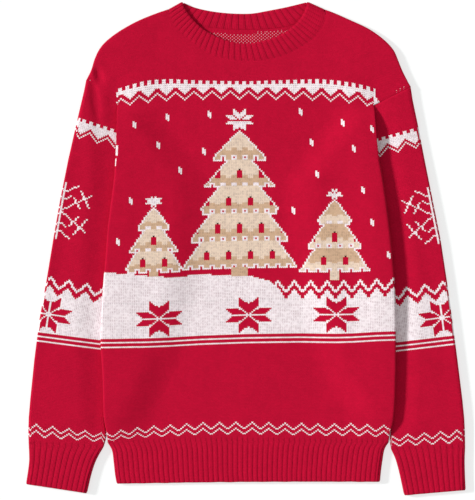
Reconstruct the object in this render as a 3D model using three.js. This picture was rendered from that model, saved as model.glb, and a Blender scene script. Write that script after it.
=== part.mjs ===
// A knitted crew-neck pullover laid flat on its back, front side up, sleeves folded down beside the body
// and tucked a little way under it. Millimetres, +Z up, +Y towards the neck, +X to the viewer's right.
// The body and sleeves are flattened tubes of knitted cloth: each layer is a wall of its own thickness, the
// layers lie on each other, and the ribs of neckband, hem and cuffs stand out of the upper side of the wall.
import * as THREE from "three";

// Driving sizes
const wall = 2.4; // thickness of the double jacquard knit
const seam = 0.3; // space between two pieces that are sewn to each other
const layerGap = 0.4; // space between two layers that lie on each other
const flatHeight = 2 * wall + layerGap; // two layers pressed together
const bodyPuff = 2.6; // how much the body stands above two pressed layers along its side folds
const centrePuff = 1.4; // the same in the middle of the body
const sleevePuff = 2.6; // and along the open part of a sleeve
const underBodyRise = 6.2; // height of the body's underside where a sleeve lies beneath it
const riseRamp = 56; // width over which the body comes down from a sleeve to the floor
const riseMargin = 9; // and how far from the sleeve's inner fold it begins
const ribHeight = 1.2; // how far a rib stands out of the wall
const neckHeight = 6.4; // two layers and the air between them at the neckline
const hemHeight = 6.8;
const cuffHeight = 7.2;
const sleeveStep = 0.8; // space between a sleeve and the body's side fold where they lie side by side

const red = 0xbd1033;
const ribRed = 0xb00e2f;

// Side folds of the body, from the armholes down to the hem seam.
const bodySides = [
  { y: 196.6, left: -176.3, right: 175.2 },
  { y: 135, left: -178, right: 180.4 },
  { y: 97, left: -180.8, right: 187 },
  { y: 58, left: -185.6, right: 192.7 },
  { y: 27, left: -189.5, right: 196.6 },
  { y: -10, left: -192.3, right: 200.5 },
  { y: -58, left: -196.2, right: 204 },
  { y: -120, left: -199.3, right: 205.2 },
  { y: -177, left: -196.5, right: 205 },
  { y: -234, left: -194.5, right: 202 },
  { y: -256, left: -190.7, right: 197.3 },
  { y: -266, left: -189.8, right: 195.6 },
];
// How high the body's underside lies at its side folds.
const sideRise = [
  { y: 196.6, rise: 0 },
  { y: 150, rise: underBodyRise },
  { y: -208, rise: underBodyRise },
  { y: -232, rise: 5.6 },
  { y: -266, rise: 0 },
];
// Armhole seams: the shoulder end, then the point where the seam runs in under the body's side fold.
const armholes = {
  left: { shoulderX: -219.2, shoulderY: 230.8, foldX: -176.3, foldY: 196.6 },
  right: { shoulderX: 226, shoulderY: 221.3, foldX: 175.2, foldY: 196.6 },
};
// Shoulder folds between the armhole seams and the neck seam.
const shoulders = [
  { y: 244.5, left: -212.4, right: 214.3 },
  { y: 258.2, left: -208.2, right: 208.8 },
  { y: 270.5, left: -202.8, right: 203.5 },
  { y: 280.2, left: -195.9, right: 195.9 },
  { y: 291.1, left: -183.6, right: 183.6 },
  { y: 302.1, left: -167.1, right: 167.1 },
  { y: 313, left: -146.6, right: 143.9 },
  { y: 324, left: -119.2, right: 119 },
];
// Neckline, from the shoulders down to its lowest point, where left and right meet.
const neckline = {
  frontSeam: [
    { y: 327.8, left: -107, right: 108.2 },
    { y: 316, left: -103.5, right: 109 },
    { y: 304, left: -97.5, right: 104.8 },
    { y: 290, left: -82.8, right: 94.8 },
    { y: 277, left: -66, right: 76.5 },
    { y: 265, left: -47, right: 53.5 },
    { y: 259, left: -24, right: 28.5 },
    { y: 257, left: 2, right: 2 },
  ],
  frontEdge: [
    { y: 338.5, left: -87.7, right: 84.9 },
    { y: 328.9, left: -83.7, right: 81.9 },
    { y: 315.5, left: -74.1, right: 74.9 },
    { y: 301, left: -58.8, right: 60 },
    { y: 291.4, left: -41.5, right: 43.5 },
    { y: 283.7, left: -21, right: 19.5 },
    { y: 280.9, left: 0.8, right: 0.8 },
  ],
  backSeam: [
    { y: 327.8, left: -107, right: 108.2 },
    { y: 316, left: -84, right: 83 },
    { y: 305.8, left: -62, right: 60 },
    { y: 301.5, left: -28, right: 30 },
    { y: 300.4, left: 0.8, right: 0.8 },
  ],
  backEdge: [
    { y: 338.5, left: -87.7, right: 84.9 },
    { y: 331.4, left: -72, right: 56 },
    { y: 326.1, left: -50, right: 29 },
    { y: 323, left: -25, right: 12 },
    { y: 322.2, left: 0.8, right: 0.8 },
  ],
};
// Outer and inner fold of each sleeve, from the armhole down to the cuff. The inner fold starts at the underarm
// and lies under the body; at its lower end sleeve and body lie side by side.
const sleeveFolds = {
  left: [
    { y: 217, outer: -221.9 },
    { y: 176, outer: -231.5 },
    { y: 121, outer: -244 },
    { y: 66, outer: -255, inner: -111 },
    { y: 12, outer: -264.5, inner: -114 },
    { y: -43, outer: -273.5, inner: -125 },
    { y: -98, outer: -283.4, inner: -137 },
    { y: -153, outer: -290.4, inner: -153 },
    { y: -208, outer: -296, inner: -178 },
    { y: -232, outer: -298, inner: -195.8 },
    { y: -250, outer: -298.5, inner: -194 },
    { y: -262, outer: -298.2, inner: -193.5 },
  ],
  right: [
    { y: 203, outer: 228.8 },
    { y: 170, outer: 235.8 },
    { y: 121, outer: 245.2 },
    { y: 66, outer: 256.2, inner: 111 },
    { y: 12, outer: 267, inner: 114 },
    { y: -43, outer: 275.4, inner: 125 },
    { y: -98, outer: 283, inner: 137 },
    { y: -153, outer: 290.2, inner: 153 },
    { y: -208, outer: 297, inner: 184 },
    { y: -232, outer: 299.4, inner: 203.2 },
    { y: -250, outer: 300.3, inner: 200.4 },
    { y: -262, outer: 300.6, inner: 198.2 },
  ],
};
// Sides of the hem rib and the cuffs, from the seam down to the free edge.
const hemSides = [
  { left: -189.8, leftY: -266, right: 195.6, rightY: -266 },
  { left: -184, leftY: -276.1, right: 190.4, rightY: -274.7 },
  { left: -181.5, leftY: -292.5, right: 187, rightY: -292.5 },
  { left: -179.5, leftY: -310.3, right: 185, rightY: -307.6 },
  { left: -177.3, leftY: -322.6, right: 184, rightY: -320 },
];
const cuffSides = {
  left: [
    { left: -298, leftY: -267.8, right: -195.2, rightY: -272 },
    { left: -297.3, leftY: -289.8, right: -205.1, rightY: -289.8 },
    { left: -298.7, leftY: -303.5, right: -211, rightY: -306.2 },
    { left: -301.7, leftY: -323, right: -218.1, rightY: -335.8 },
  ],
  right: [
    { left: 199.3, leftY: -276, right: 300.7, rightY: -272 },
    { left: 204.7, leftY: -287.7, right: 300, rightY: -290 },
    { left: 209.6, leftY: -304.6, right: 300.4, rightY: -310 },
    { left: 217, leftY: -338.5, right: 301.4, rightY: -331.3 },
  ],
};
const seamSag = 2.3; // the hem seam and the free edges of hem and cuffs aren't quite straight

const ribs = { hem: 54, cuff: 12, neckFront: 36, neckBack: 22 };

// Soft creases: ridges where height is above 0 and troughs where it is below. angle is that of the crease's
// line against +X in degrees; length and width are half sizes.
const creases = [
  { x: -206, y: 205, angle: 100, length: 34, width: 7, height: -1.6 },
  { x: -222, y: 172, angle: 99, length: 60, width: 9, height: 0.7 },
  { x: -150, y: 214, angle: 38, length: 40, width: 12, height: 0.8 },
  { x: 158, y: 214, angle: 140, length: 42, width: 12, height: 0.8 },
  { x: -120, y: -190, angle: 96, length: 90, width: 22, height: -0.7 },
  { x: 96, y: -196, angle: 84, length: 80, width: 24, height: -0.8 },
  { x: 8, y: -210, angle: 92, length: 70, width: 30, height: 0.6 },
  { x: -60, y: 60, angle: 70, length: 120, width: 34, height: 0.5 },
  { x: 84, y: 40, angle: 108, length: 120, width: 36, height: 0.5 },
  { x: -262, y: -70, angle: 82, length: 90, width: 12, height: -0.8 },
  { x: 262, y: -100, angle: 98, length: 90, width: 12, height: -0.8 },
  { x: -240, y: 60, angle: 80, length: 70, width: 12, height: -0.6 },
  { x: 244, y: 150, angle: 104, length: 40, width: 10, height: -0.7 },
];

const lerp = THREE.MathUtils.lerp;
const smoothstep = THREE.MathUtils.smoothstep;

// The value of a table's column at a height y, between its rows.
function atHeight(table, column, y) {
  if (y >= table[0].y) return table[0][column];
  for (let i = 1; i < table.length; i++) {
    if (y >= table[i].y) {
      const share = (table[i - 1].y - y) / (table[i - 1].y - table[i].y);
      return lerp(table[i - 1][column], table[i][column], share);
    }
  }
  return table[table.length - 1][column];
}

// Paths are functions that give the point at a share from 0 to 1 of their length.
function straightThrough(points) {
  return (share) => {
    const place = THREE.MathUtils.clamp(share, 0, 1) * (points.length - 1);
    const i = Math.min(Math.floor(place), points.length - 2);
    return points[i].clone().lerp(points[i + 1], place - i);
  };
}

// A smooth path through points, in as many straight steps as steps says.
function smoothPath(points, steps = 40) {
  const plan = points.map(({ x, y }) => new THREE.Vector3(x, y, 0));
  return straightThrough(new THREE.CatmullRomCurve3(plan, false, "centripetal").getSpacedPoints(steps));
}

const straight = (a, b) => straightThrough([new THREE.Vector3(a.x, a.y, 0), new THREE.Vector3(b.x, b.y, 0)]);

// Points out of a table's rows, for one of its columns.
const columnPoints = (table, column) => table.map((row) => ({ x: row[column], y: row[`${column}Y`] ?? row.y }));

// Down the left side of a neckline and up its right one.
function necklinePoints(table) {
  return [...columnPoints(table, "left"), ...columnPoints(table, "right").reverse().slice(1)];
}

const shoulderEnd = (side) => ({ x: armholes[side].shoulderX, y: armholes[side].shoulderY });
const armholeFold = (side) => ({ x: armholes[side].foldX, y: armholes[side].foldY });

function shoulderPoints(side) {
  return [shoulderEnd(side), ...columnPoints(shoulders, side), columnPoints(neckline.frontSeam, side)[0]];
}

const innerFoldRows = (side) => sleeveFolds[side].filter((row) => "inner" in row);

// One path out of several, which meet at the given shares.
function joined(paths, meetings) {
  const marks = [0, ...meetings, 1];
  return (share) => {
    const found = paths.findIndex((path, i) => share <= marks[i + 1]);
    const i = found < 0 ? paths.length - 1 : found;
    return paths[i]((share - marks[i]) / (marks[i + 1] - marks[i]));
  };
}

// A flat patch between four edges. A side's bends are felt as far inward as sideReach, a share of the width.
function patchBetween(left, right, bottom, top, sideReach = 1) {
  const leftStart = left(0);
  const leftEnd = left(1);
  const rightStart = right(0);
  const rightEnd = right(1);
  return (u, v) => {
    const point = bottom(u).lerp(top(u), v);
    const leftBend = left(v).sub(leftStart.clone().lerp(leftEnd, v));
    const rightBend = right(v).sub(rightStart.clone().lerp(rightEnd, v));
    point.addScaledVector(leftBend, Math.max(0, 1 - u / sideReach));
    return point.addScaledVector(rightBend, Math.max(0, 1 - (1 - u) / sideReach));
  };
}

function creaseHeight(x, y) {
  let height = 0;
  for (const crease of creases) {
    const angle = THREE.MathUtils.degToRad(crease.angle);
    const along = (x - crease.x) * Math.cos(angle) + (y - crease.y) * Math.sin(angle);
    const across = (y - crease.y) * Math.cos(angle) - (x - crease.x) * Math.sin(angle);
    height += crease.height * Math.exp(-((along / crease.length) ** 2) - (across / crease.width) ** 2);
  }
  return height;
}

// The inner fold of the sleeve on x's side at height y, or the body's side fold where the sleeve isn't under it.
function sleeveReach(side, y) {
  const edge = atHeight(bodySides, side, y);
  const [underarm, ...folds] = columnPoints(innerFoldRows(side), "inner").filter((row) => row.y > -210);
  const rows = [{ y: 180, x: edge }, { y: 92, x: underarm.x }, ...folds, { y: -238, x: edge }];
  return y < rows[0].y && y > -238 ? atHeight(rows, "x", y) : edge;
}

// Height of the body's underside.
function bodyBase(x, y) {
  const side = x < 0 ? "left" : "right";
  const inward = Math.abs(sleeveReach(side, y)) - Math.abs(x);
  const cover = 1 - smoothstep(inward, riseMargin, riseMargin + riseRamp);
  return atHeight(sideRise, "rise", y) * cover;
}

// Height of the body's two layers together.
function bodyHeight(x, y) {
  const half = atHeight(bodySides, x < 0 ? "left" : "right", y);
  const fromSide = Math.abs(half) - Math.abs(x);
  const sides = 1 - smoothstep(fromSide, 10, 70);
  const corner = Math.exp(-(((Math.abs(x) - 176) / 22) ** 2) - ((y - 197) / 24) ** 2);
  const puff = lerp(centrePuff, bodyPuff, sides) * (1 - 0.9 * corner);
  const nearNeck = smoothstep(y, 232, 268) * (1 - smoothstep(Math.abs(x), 100, 150));
  const nearHem = 1 - smoothstep(y, -266, -236);
  let height = flatHeight + Math.max(0, puff + creaseHeight(x, y));
  height = lerp(height, neckHeight, nearNeck);
  return lerp(height, hemHeight, nearHem);
}

// Height of a sleeve's two layers together: pressed flat under the body, fuller beside it, and as high as the
// body at the armhole seam.
function sleeveHeight(side, x, y) {
  const edge = Math.abs(atHeight(bodySides, side, y));
  const open = smoothstep(Math.abs(x) - edge, 1, 20);
  const nearCuff = 1 - smoothstep(y, -270, -236);
  const height = flatHeight + open * Math.max(0, sleevePuff + creaseHeight(x, y));
  const { shoulderX, shoulderY, foldX, foldY } = armholes[side];
  const slope = (foldY - shoulderY) / (foldX - shoulderX);
  const seamLine = Math.max(shoulderY + slope * (x - shoulderX), foldY);
  const nearSeam = open * (1 - smoothstep(seamLine - y, 0, 45));
  return lerp(lerp(height, bodyHeight(x, y), nearSeam), cuffHeight, nearCuff);
}

// A closed solid from the outer and inner points of a wall, as rows of columns. A ring's columns close on
// themselves; facingDown turns the faces round.
function wallSolid(name, outer, inner, { ring, facingDown = false, color }) {
  const rows = outer.length;
  const columns = outer[0].length;
  const positions = [];
  for (const side of [outer, inner]) {
    for (const row of side) for (const point of row) positions.push(point.x, point.y, point.z);
  }
  const index = (side, j, i) => (side * rows + j) * columns + (i % columns);
  const triangles = [];
  const quad = (a, b, c, d) => {
    if (facingDown) triangles.push(a, c, b, a, d, c);
    else triangles.push(a, b, c, a, c, d);
  };
  const last = ring ? columns : columns - 1;
  for (let j = 0; j < rows - 1; j++) {
    for (let i = 0; i < last; i++) {
      quad(index(0, j, i), index(0, j, i + 1), index(0, j + 1, i + 1), index(0, j + 1, i));
      quad(index(1, j, i), index(1, j + 1, i), index(1, j + 1, i + 1), index(1, j, i + 1));
    }
  }
  for (let i = 0; i < last; i++) {
    quad(index(0, 0, i), index(1, 0, i), index(1, 0, i + 1), index(0, 0, i + 1));
    quad(index(0, rows - 1, i), index(0, rows - 1, i + 1), index(1, rows - 1, i + 1), index(1, rows - 1, i));
  }
  if (!ring) {
    for (let j = 0; j < rows - 1; j++) {
      quad(index(0, j, 0), index(0, j + 1, 0), index(1, j + 1, 0), index(1, j, 0));
      quad(index(0, j, columns - 1), index(1, j, columns - 1), index(1, j + 1, columns - 1),
        index(0, j + 1, columns - 1));
    }
  }
  const geometry = new THREE.BufferGeometry();
  geometry.setAttribute("position", new THREE.Float32BufferAttribute(positions, 3));
  geometry.setIndex(triangles);
  geometry.computeVertexNormals();
  const mesh = new THREE.Mesh(geometry, new THREE.MeshStandardMaterial({ color, roughness: 0.9, metalness: 0 }));
  mesh.name = name;
  return mesh;
}

// Front or back panel: a cloth wall over the flat patch of the body, rounded down to the side seam at half
// height along the side and shoulder folds. The armhole, neck and hem edges are cut straight.
const foldInsets = [0, 0.4, 1.4, 3];

function foldLines() {
  const lines = [];
  for (const side of ["left", "right"]) {
    const folds = bodySides.map((row) => ({ x: row[side], y: row.y, full: 1 - smoothstep(row.y, 118, 168) }));
    for (let i = 1; i < folds.length; i++) lines.push([folds[i - 1], folds[i]]);
    const shoulder = smoothPath(shoulderPoints(side), 24);
    for (let i = 0; i < 24; i++) {
      lines.push([{ ...shoulder(i / 24), full: 1 }, { ...shoulder((i + 1) / 24), full: 1 }]);
    }
  }
  return lines;
}
const bodyFolds = foldLines();

// The nearest fold: how far it is, which way it lies, and how round it is there (1 is a full fold).
function nearestFold(x, y) {
  let found = { distance: Infinity };
  for (const [a, b] of bodyFolds) {
    const run = { x: b.x - a.x, y: b.y - a.y };
    const share = THREE.MathUtils.clamp(
      ((x - a.x) * run.x + (y - a.y) * run.y) / (run.x ** 2 + run.y ** 2), 0, 1);
    const foot = { x: a.x + share * run.x, y: a.y + share * run.y };
    const distance = Math.hypot(x - foot.x, y - foot.y);
    if (distance < found.distance) {
      const length = Math.hypot(run.x, run.y);
      const out = new THREE.Vector3(run.y / length, -run.x / length, 0);
      if (out.x * x + out.y * Math.max(0, y - 200) < 0) out.negate();
      found = { distance, out, full: lerp(a.full, b.full, share) };
    }
  }
  return found;
}

// Outer and inner point of the upper (up = 1) or lower (up = -1) layer of the body.
function layerPoints(plan, up) {
  const height = bodyHeight(plan.x, plan.y);
  const base = bodyBase(plan.x, plan.y);
  const radius = height / 2 - seam / 2;
  const fold = nearestFold(plan.x, plan.y);
  const cosine = fold.distance < radius ? fold.full * (1 - fold.distance / radius) : 0;
  const sine = Math.sqrt(1 - cosine ** 2);
  const middle = base + height / 2 + up * seam / 2;
  const outer = new THREE.Vector3(plan.x, plan.y, middle + up * radius * sine);
  const normal = new THREE.Vector3(0, 0, up * sine);
  if (cosine > 0) normal.addScaledVector(fold.out, cosine);
  return { outer, inner: outer.clone().addScaledVector(normal, -wall) };
}

// Shares of a panel's edges: the shoulder folds take the first and last part of its upper edge, the armhole
// seam the upper part of its sides. bottomShare keeps the columns under the shoulders upright.
const shoulderPart = 0.31;
const armholePart = 0.12;
const neckColumns = 16;
const bodyWidth = 390;
const bodyLength = 560;

function bottomShare(share) {
  const under = 0.17;
  if (share < shoulderPart) return under * (share / shoulderPart);
  if (share > 1 - shoulderPart) return 1 - under * ((1 - share) / shoulderPart);
  return lerp(under, 1 - under, (share - shoulderPart) / (1 - 2 * shoulderPart));
}

function bodyPatch(neckSeam) {
  const side = (name) => joined([
    smoothPath(columnPoints(bodySides, name).reverse()),
    straight(armholeFold(name), shoulderEnd(name)),
  ], [1 - armholePart]);
  const top = joined([
    smoothPath(shoulderPoints("left")), smoothPath(necklinePoints(neckSeam), neckColumns),
    smoothPath(shoulderPoints("right").reverse()),
  ], [shoulderPart, 1 - shoulderPart]);
  const lowest = bodySides[bodySides.length - 1];
  const bottom = (share) => new THREE.Vector3(
    lerp(lowest.left, lowest.right, bottomShare(share)), lowest.y + seamSag * Math.sin(Math.PI * share), 0);
  return patchBetween(side("left"), side("right"), bottom, top, shoulderPart);
}

// Shares from low to high in equal steps, without the last.
const stepsBetween = (low, high, count) => Array.from({ length: count }, (_, i) => lerp(low, high, i / count));

// The grid lines of both panels: close together next to a fold, one at each corner of the outline.
const foldShares = (length) => foldInsets.map((inset) => inset / length);
const leftShares = [
  ...foldShares(bodyWidth).slice(0, -1),
  ...stepsBetween(foldInsets[3] / bodyWidth, shoulderPart, 6),
];
const panelColumns = [
  ...leftShares,
  ...stepsBetween(shoulderPart, 1 - shoulderPart, neckColumns),
  1 - shoulderPart,
  ...leftShares.map((share) => 1 - share).reverse(),
];
const panelRows = [
  ...stepsBetween(seam / bodyLength, 1 - armholePart, 15),
  ...stepsBetween(1 - armholePart, 1 - foldInsets[3] / bodyLength, 3),
  ...foldShares(bodyLength).map((share) => 1 - share).reverse(),
];

// Both panels have the same grid lines in plan up to the chest; the back one goes on further up to its neckline.
function bodyPanel(name, neckSeam, up) {
  const plan = bodyPatch(neckline.frontSeam);
  const highPlan = bodyPatch(neckSeam);
  const outer = [];
  const inner = [];
  for (const v of panelRows) {
    const row = panelColumns.map((u) => layerPoints(plan(u, v).lerp(highPlan(u, v), smoothstep(v, 0.7, 1)), up));
    outer.push(row.map((pair) => pair.outer));
    inner.push(row.map((pair) => pair.inner));
  }
  return wallSolid(name, outer, inner, { ring: false, facingDown: up < 0, color: red });
}

// A flattened tube: upper and lower layer between two folds. planTop and planBottom give the flat place of a
// share across and a share along; height(point) gives the thickness of both layers, and the underside is flat.
const foldAngles = [-60, -30, 0, 30, 60].map(THREE.MathUtils.degToRad);

function tubePiece(name, piece) {
  const { planTop, planBottom = planTop, height, rowShares, topColumns, bottomColumns, color } = piece;
  const { topRib = () => 0, insideRib = () => 0, upward = () => 1 } = piece;
  const outer = [];
  const inner = [];
  for (const v of rowShares) {
    const ringOuter = [];
    const ringInner = [];
    const add = (point, normal, rib, lining) => {
      ringOuter.push(point.clone().addScaledVector(normal, rib));
      ringInner.push(point.clone().addScaledVector(normal, -wall - lining));
    };
    const width = planTop(0, v).distanceTo(planTop(1, v));
    const near = 6 / width;
    for (const half of [1, -1]) {
      const plan = half > 0 ? planTop : planBottom;
      const shares = half > 0 ? topColumns : [...bottomColumns].reverse();
      const inset = height(planTop(0.5, v)) / 2 / width;
      for (const u of shares) {
        const point = plan(THREE.MathUtils.clamp(u, inset, 1 - inset), v);
        const thick = height(point);
        point.z = half > 0 ? thick : 0;
        const fade = smoothstep(Math.min(u, 1 - u), 0, 0.02) * upward(v);
        const rib = half > 0 ? topRib(u) * fade : 0;
        const lining = half < 0 ? insideRib(u) * fade : 0;
        add(point, new THREE.Vector3(0, 0, half), rib, lining);
      }
      const end = half > 0 ? 1 : 0;
      const tip = planTop(end, v);
      const inward = planTop(Math.abs(end - near), v).add(planBottom(Math.abs(end - near), v)).divideScalar(2);
      const out = tip.clone().sub(inward).setZ(0).normalize();
      const radius = height(tip) / 2;
      for (const step of foldAngles) {
        const angle = -half * step;
        const normal = out.clone().multiplyScalar(Math.cos(angle)).setZ(Math.sin(angle));
        const point = tip.clone().addScaledVector(out, -radius).setZ(radius).addScaledVector(normal, radius);
        add(point, normal, 0, 0);
      }
    }
    outer.push(ringOuter);
    inner.push(ringInner);
  }
  return wallSolid(name, outer, inner, { ring: true, color });
}

const evenShares = (count) => Array.from({ length: count + 1 }, (_, i) => i / count);

// Column shares for ribs: a narrow groove, then the two shoulders of the rib's flat top.
function ribShares(count) {
  const shares = [];
  for (let i = 0; i < count; i++) shares.push(i / count, (i + 0.27) / count, (i + 0.73) / count);
  return [...shares, 1];
}

function ribProfile(count) {
  return (share) => {
    const place = (share * count) % 1;
    return place > 0.1 && place < 0.9 ? ribHeight : 0;
  };
}

// A sleeve: flat patch between the outer and inner folds, the cuff seam and the armhole edge. That edge runs
// along the visible seam, then close beside the body's side fold, then under the body to the underarm.
const armholeCorners = [0.42, 0.66];
const besideTo = 138;

function sleeve(side) {
  const mirror = side === "left" ? 1 : -1;
  const { shoulderX, shoulderY, foldX, foldY } = armholes[side];
  const start = { x: shoulderX - mirror * seam, y: shoulderY - seam };
  const corner = { x: foldX - mirror * sleeveStep, y: foldY - seam / 2 };
  const beside = { x: atHeight(bodySides, side, besideTo) - mirror * sleeveStep, y: besideTo };
  const innerPoints = columnPoints(innerFoldRows(side), "inner");
  const armhole = joined(
    [straight(start, corner), straight(corner, beside), straight(beside, innerPoints[0])], armholeCorners);
  const cuffPoints = ["left", "right"].map((name) => columnPoints(cuffSides[side], name)[0]);
  const [cuffOuter, cuffInner] = mirror > 0 ? cuffPoints : cuffPoints.reverse();
  const outerFold = smoothPath([start, ...columnPoints(sleeveFolds[side], "outer"), cuffOuter].reverse());
  const innerFold = smoothPath([...innerPoints, cuffInner].reverse());
  const patch = patchBetween(outerFold, innerFold, straight(cuffOuter, cuffInner), armhole);
  const columns = [
    ...stepsBetween(0, armholeCorners[0], 4), ...stepsBetween(...armholeCorners, 2),
    ...stepsBetween(armholeCorners[1], 1, 2), 1,
  ];
  return tubePiece(`sleeve_${side}`, {
    planTop: (u, v) => patch(mirror > 0 ? u : 1 - u, v),
    height: (point) => sleeveHeight(side, point.x, point.y),
    rowShares: [...stepsBetween(seam / 500, 1, 14), 1],
    topColumns: mirror > 0 ? columns : columns.map((share) => 1 - share).reverse(),
    bottomColumns: mirror > 0 ? columns : columns.map((share) => 1 - share).reverse(),
    color: red,
  });
}

// A rib band, from its free edge up to its seam.
function ribBand(name, sides, count, thick, sag) {
  const left = smoothPath(columnPoints(sides, "left").reverse());
  const right = smoothPath(columnPoints(sides, "right").reverse());
  const edge = (v, drop) => (u) => left(v).lerp(right(v), u).setZ(0)
    .add(new THREE.Vector3(0, drop * Math.sin(Math.PI * u), 0));
  const patch = patchBetween(left, right, edge(0, sag / 2), edge(1, sag));
  return tubePiece(name, {
    planTop: patch,
    height: () => thick,
    rowShares: evenShares(2),
    topColumns: ribShares(count),
    bottomColumns: evenShares(Math.max(6, Math.round(count / 3))),
    topRib: ribProfile(count),
    upward: (v) => (v > 0.99 ? 0.35 : 1),
    color: ribRed,
  });
}

// The neckband: a ribbed ring, its front half on top and its back half beneath, showing its inner side.
function neckband() {
  const between = (seamLine, edgeLine) => {
    const low = smoothPath(necklinePoints(seamLine), neckColumns);
    const high = smoothPath(necklinePoints(edgeLine));
    return (u, v) => {
      const atShoulder = 1 - smoothstep(Math.min(u, 1 - u), 0, 0.05);
      return low(u).lerp(high(u), lerp((seam + 2.2 * atShoulder) / 20, 1, v));
    };
  };
  return tubePiece("neckband", {
    planTop: between(neckline.frontSeam, neckline.frontEdge),
    planBottom: between(neckline.backSeam, neckline.backEdge),
    height: () => neckHeight,
    rowShares: [0, 0.5, 1],
    topColumns: ribShares(ribs.neckFront),
    bottomColumns: ribShares(ribs.neckBack),
    topRib: ribProfile(ribs.neckFront),
    insideRib: (share) => ribProfile(ribs.neckBack)(share) * 0.75,
    upward: (v) => (v < 0.01 ? 0.35 : 1),
    color: ribRed,
  });
}

const sweater = new THREE.Group();
sweater.add(bodyPanel("front_panel", neckline.frontSeam, 1));
sweater.add(bodyPanel("back_panel", neckline.backSeam, -1));
for (const side of ["left", "right"]) {
  sweater.add(sleeve(side));
  sweater.add(ribBand(`cuff_${side}`, cuffSides[side], ribs.cuff, cuffHeight, 0));
}
sweater.add(ribBand("hem_rib", hemSides, ribs.hem, hemHeight, seamSag));
sweater.add(neckband());

export default sweater;
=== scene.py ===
# A knitted winter pullover laid flat on its back: jacquard panels and sleeves, ribbed neck, hem and cuffs.
import math

import bmesh
import bpy
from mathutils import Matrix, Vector, kdtree, noise


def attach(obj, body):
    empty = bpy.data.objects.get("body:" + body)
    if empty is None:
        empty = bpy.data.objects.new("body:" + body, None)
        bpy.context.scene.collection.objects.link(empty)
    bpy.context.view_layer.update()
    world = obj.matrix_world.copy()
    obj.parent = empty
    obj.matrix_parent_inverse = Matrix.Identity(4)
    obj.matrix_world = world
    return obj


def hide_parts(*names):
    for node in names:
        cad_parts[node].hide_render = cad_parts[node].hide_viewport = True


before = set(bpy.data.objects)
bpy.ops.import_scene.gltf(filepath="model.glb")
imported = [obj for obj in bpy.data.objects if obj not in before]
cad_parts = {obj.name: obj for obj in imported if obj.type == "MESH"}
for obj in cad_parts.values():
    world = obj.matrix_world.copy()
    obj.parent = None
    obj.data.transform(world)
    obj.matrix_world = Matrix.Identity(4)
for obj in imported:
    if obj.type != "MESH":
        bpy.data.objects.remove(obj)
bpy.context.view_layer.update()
mm = 0.001

stitch = {"width": 2.5, "height": 2.1}  # mm, one knitted V
cloth = {
    "wall": 2.2,
    "seam": 0.3,
    "pressed": 5.2,  # height of the two layers of a piece where they lie flat
    "foldPower": 3.6,  # section of a pressed fold, 2 is a half round
}


# A table with named columns; a row may leave out the last ones.
def table(columns, rows):
    return [dict(zip(columns.split(), row)) for row in rows]


def clamp(value, low, high):
    return max(low, min(high, value))


def lerp(a, b, share):
    return a + (b - a) * share


def smoothstep(value, low, high):
    share = clamp((value - low) / (high - low), 0, 1)
    return share * share * (3 - 2 * share)


# The value of a table's column at a place along another column, which rises or falls from row to row.
def tableValue(rows, column, key, place):
    way = -1 if rows[0][key] > rows[-1][key] else 1
    if way * place <= way * rows[0][key]:
        return rows[0][column]
    for above, below in zip(rows, rows[1:]):
        if way * place <= way * below[key]:
            share = (place - above[key]) / (below[key] - above[key])
            return lerp(above[column], below[column], share)
    return rows[-1][column]


# Depth of a soft rounding towards an end: full at the end, nothing from the span on.
def rounding(away, span, depth):
    return depth * (1 - away / span) ** 2 if away < span else 0


# A smooth path through points, as a function of the share of its length.
def smoothPath(points, steps=160, fineSteps=24):
    knots = [Vector((x, y, 0)) for x, y in points]
    knots = [2 * knots[0] - knots[1]] + knots + [2 * knots[-1] - knots[-2]]
    fine = []
    for p0, p1, p2, p3 in zip(knots, knots[1:], knots[2:], knots[3:]):
        t1 = math.sqrt((p1 - p0).length)
        t2 = t1 + math.sqrt((p2 - p1).length)
        t3 = t2 + math.sqrt((p3 - p2).length)
        for k in range(fineSteps):
            t = lerp(t1, t2, k / fineSteps)
            a1 = p0.lerp(p1, t / t1)
            a2 = p1.lerp(p2, (t - t1) / (t2 - t1))
            a3 = p2.lerp(p3, (t - t2) / (t3 - t2))
            b1 = a1.lerp(a2, t / t2)
            b2 = a2.lerp(a3, (t - t1) / (t3 - t1))
            fine.append(b1.lerp(b2, (t - t1) / (t2 - t1)))
    fine.append(knots[-2])
    lengths = [0]
    for a, b in zip(fine, fine[1:]):
        lengths.append(lengths[-1] + (b - a).length)
    even = []
    at = 0
    for k in range(steps + 1):
        goal = lengths[-1] * k / steps
        while at < len(fine) - 2 and lengths[at + 1] < goal:
            at += 1
        span = max(lengths[at + 1] - lengths[at], 1e-9)
        even.append(fine[at].lerp(fine[at + 1], clamp((goal - lengths[at]) / span, 0, 1)))

    def path(share):
        place = clamp(share, 0, 1) * steps
        k = min(int(place), steps - 1)
        return even[k].lerp(even[k + 1], place - k)

    return path


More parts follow.
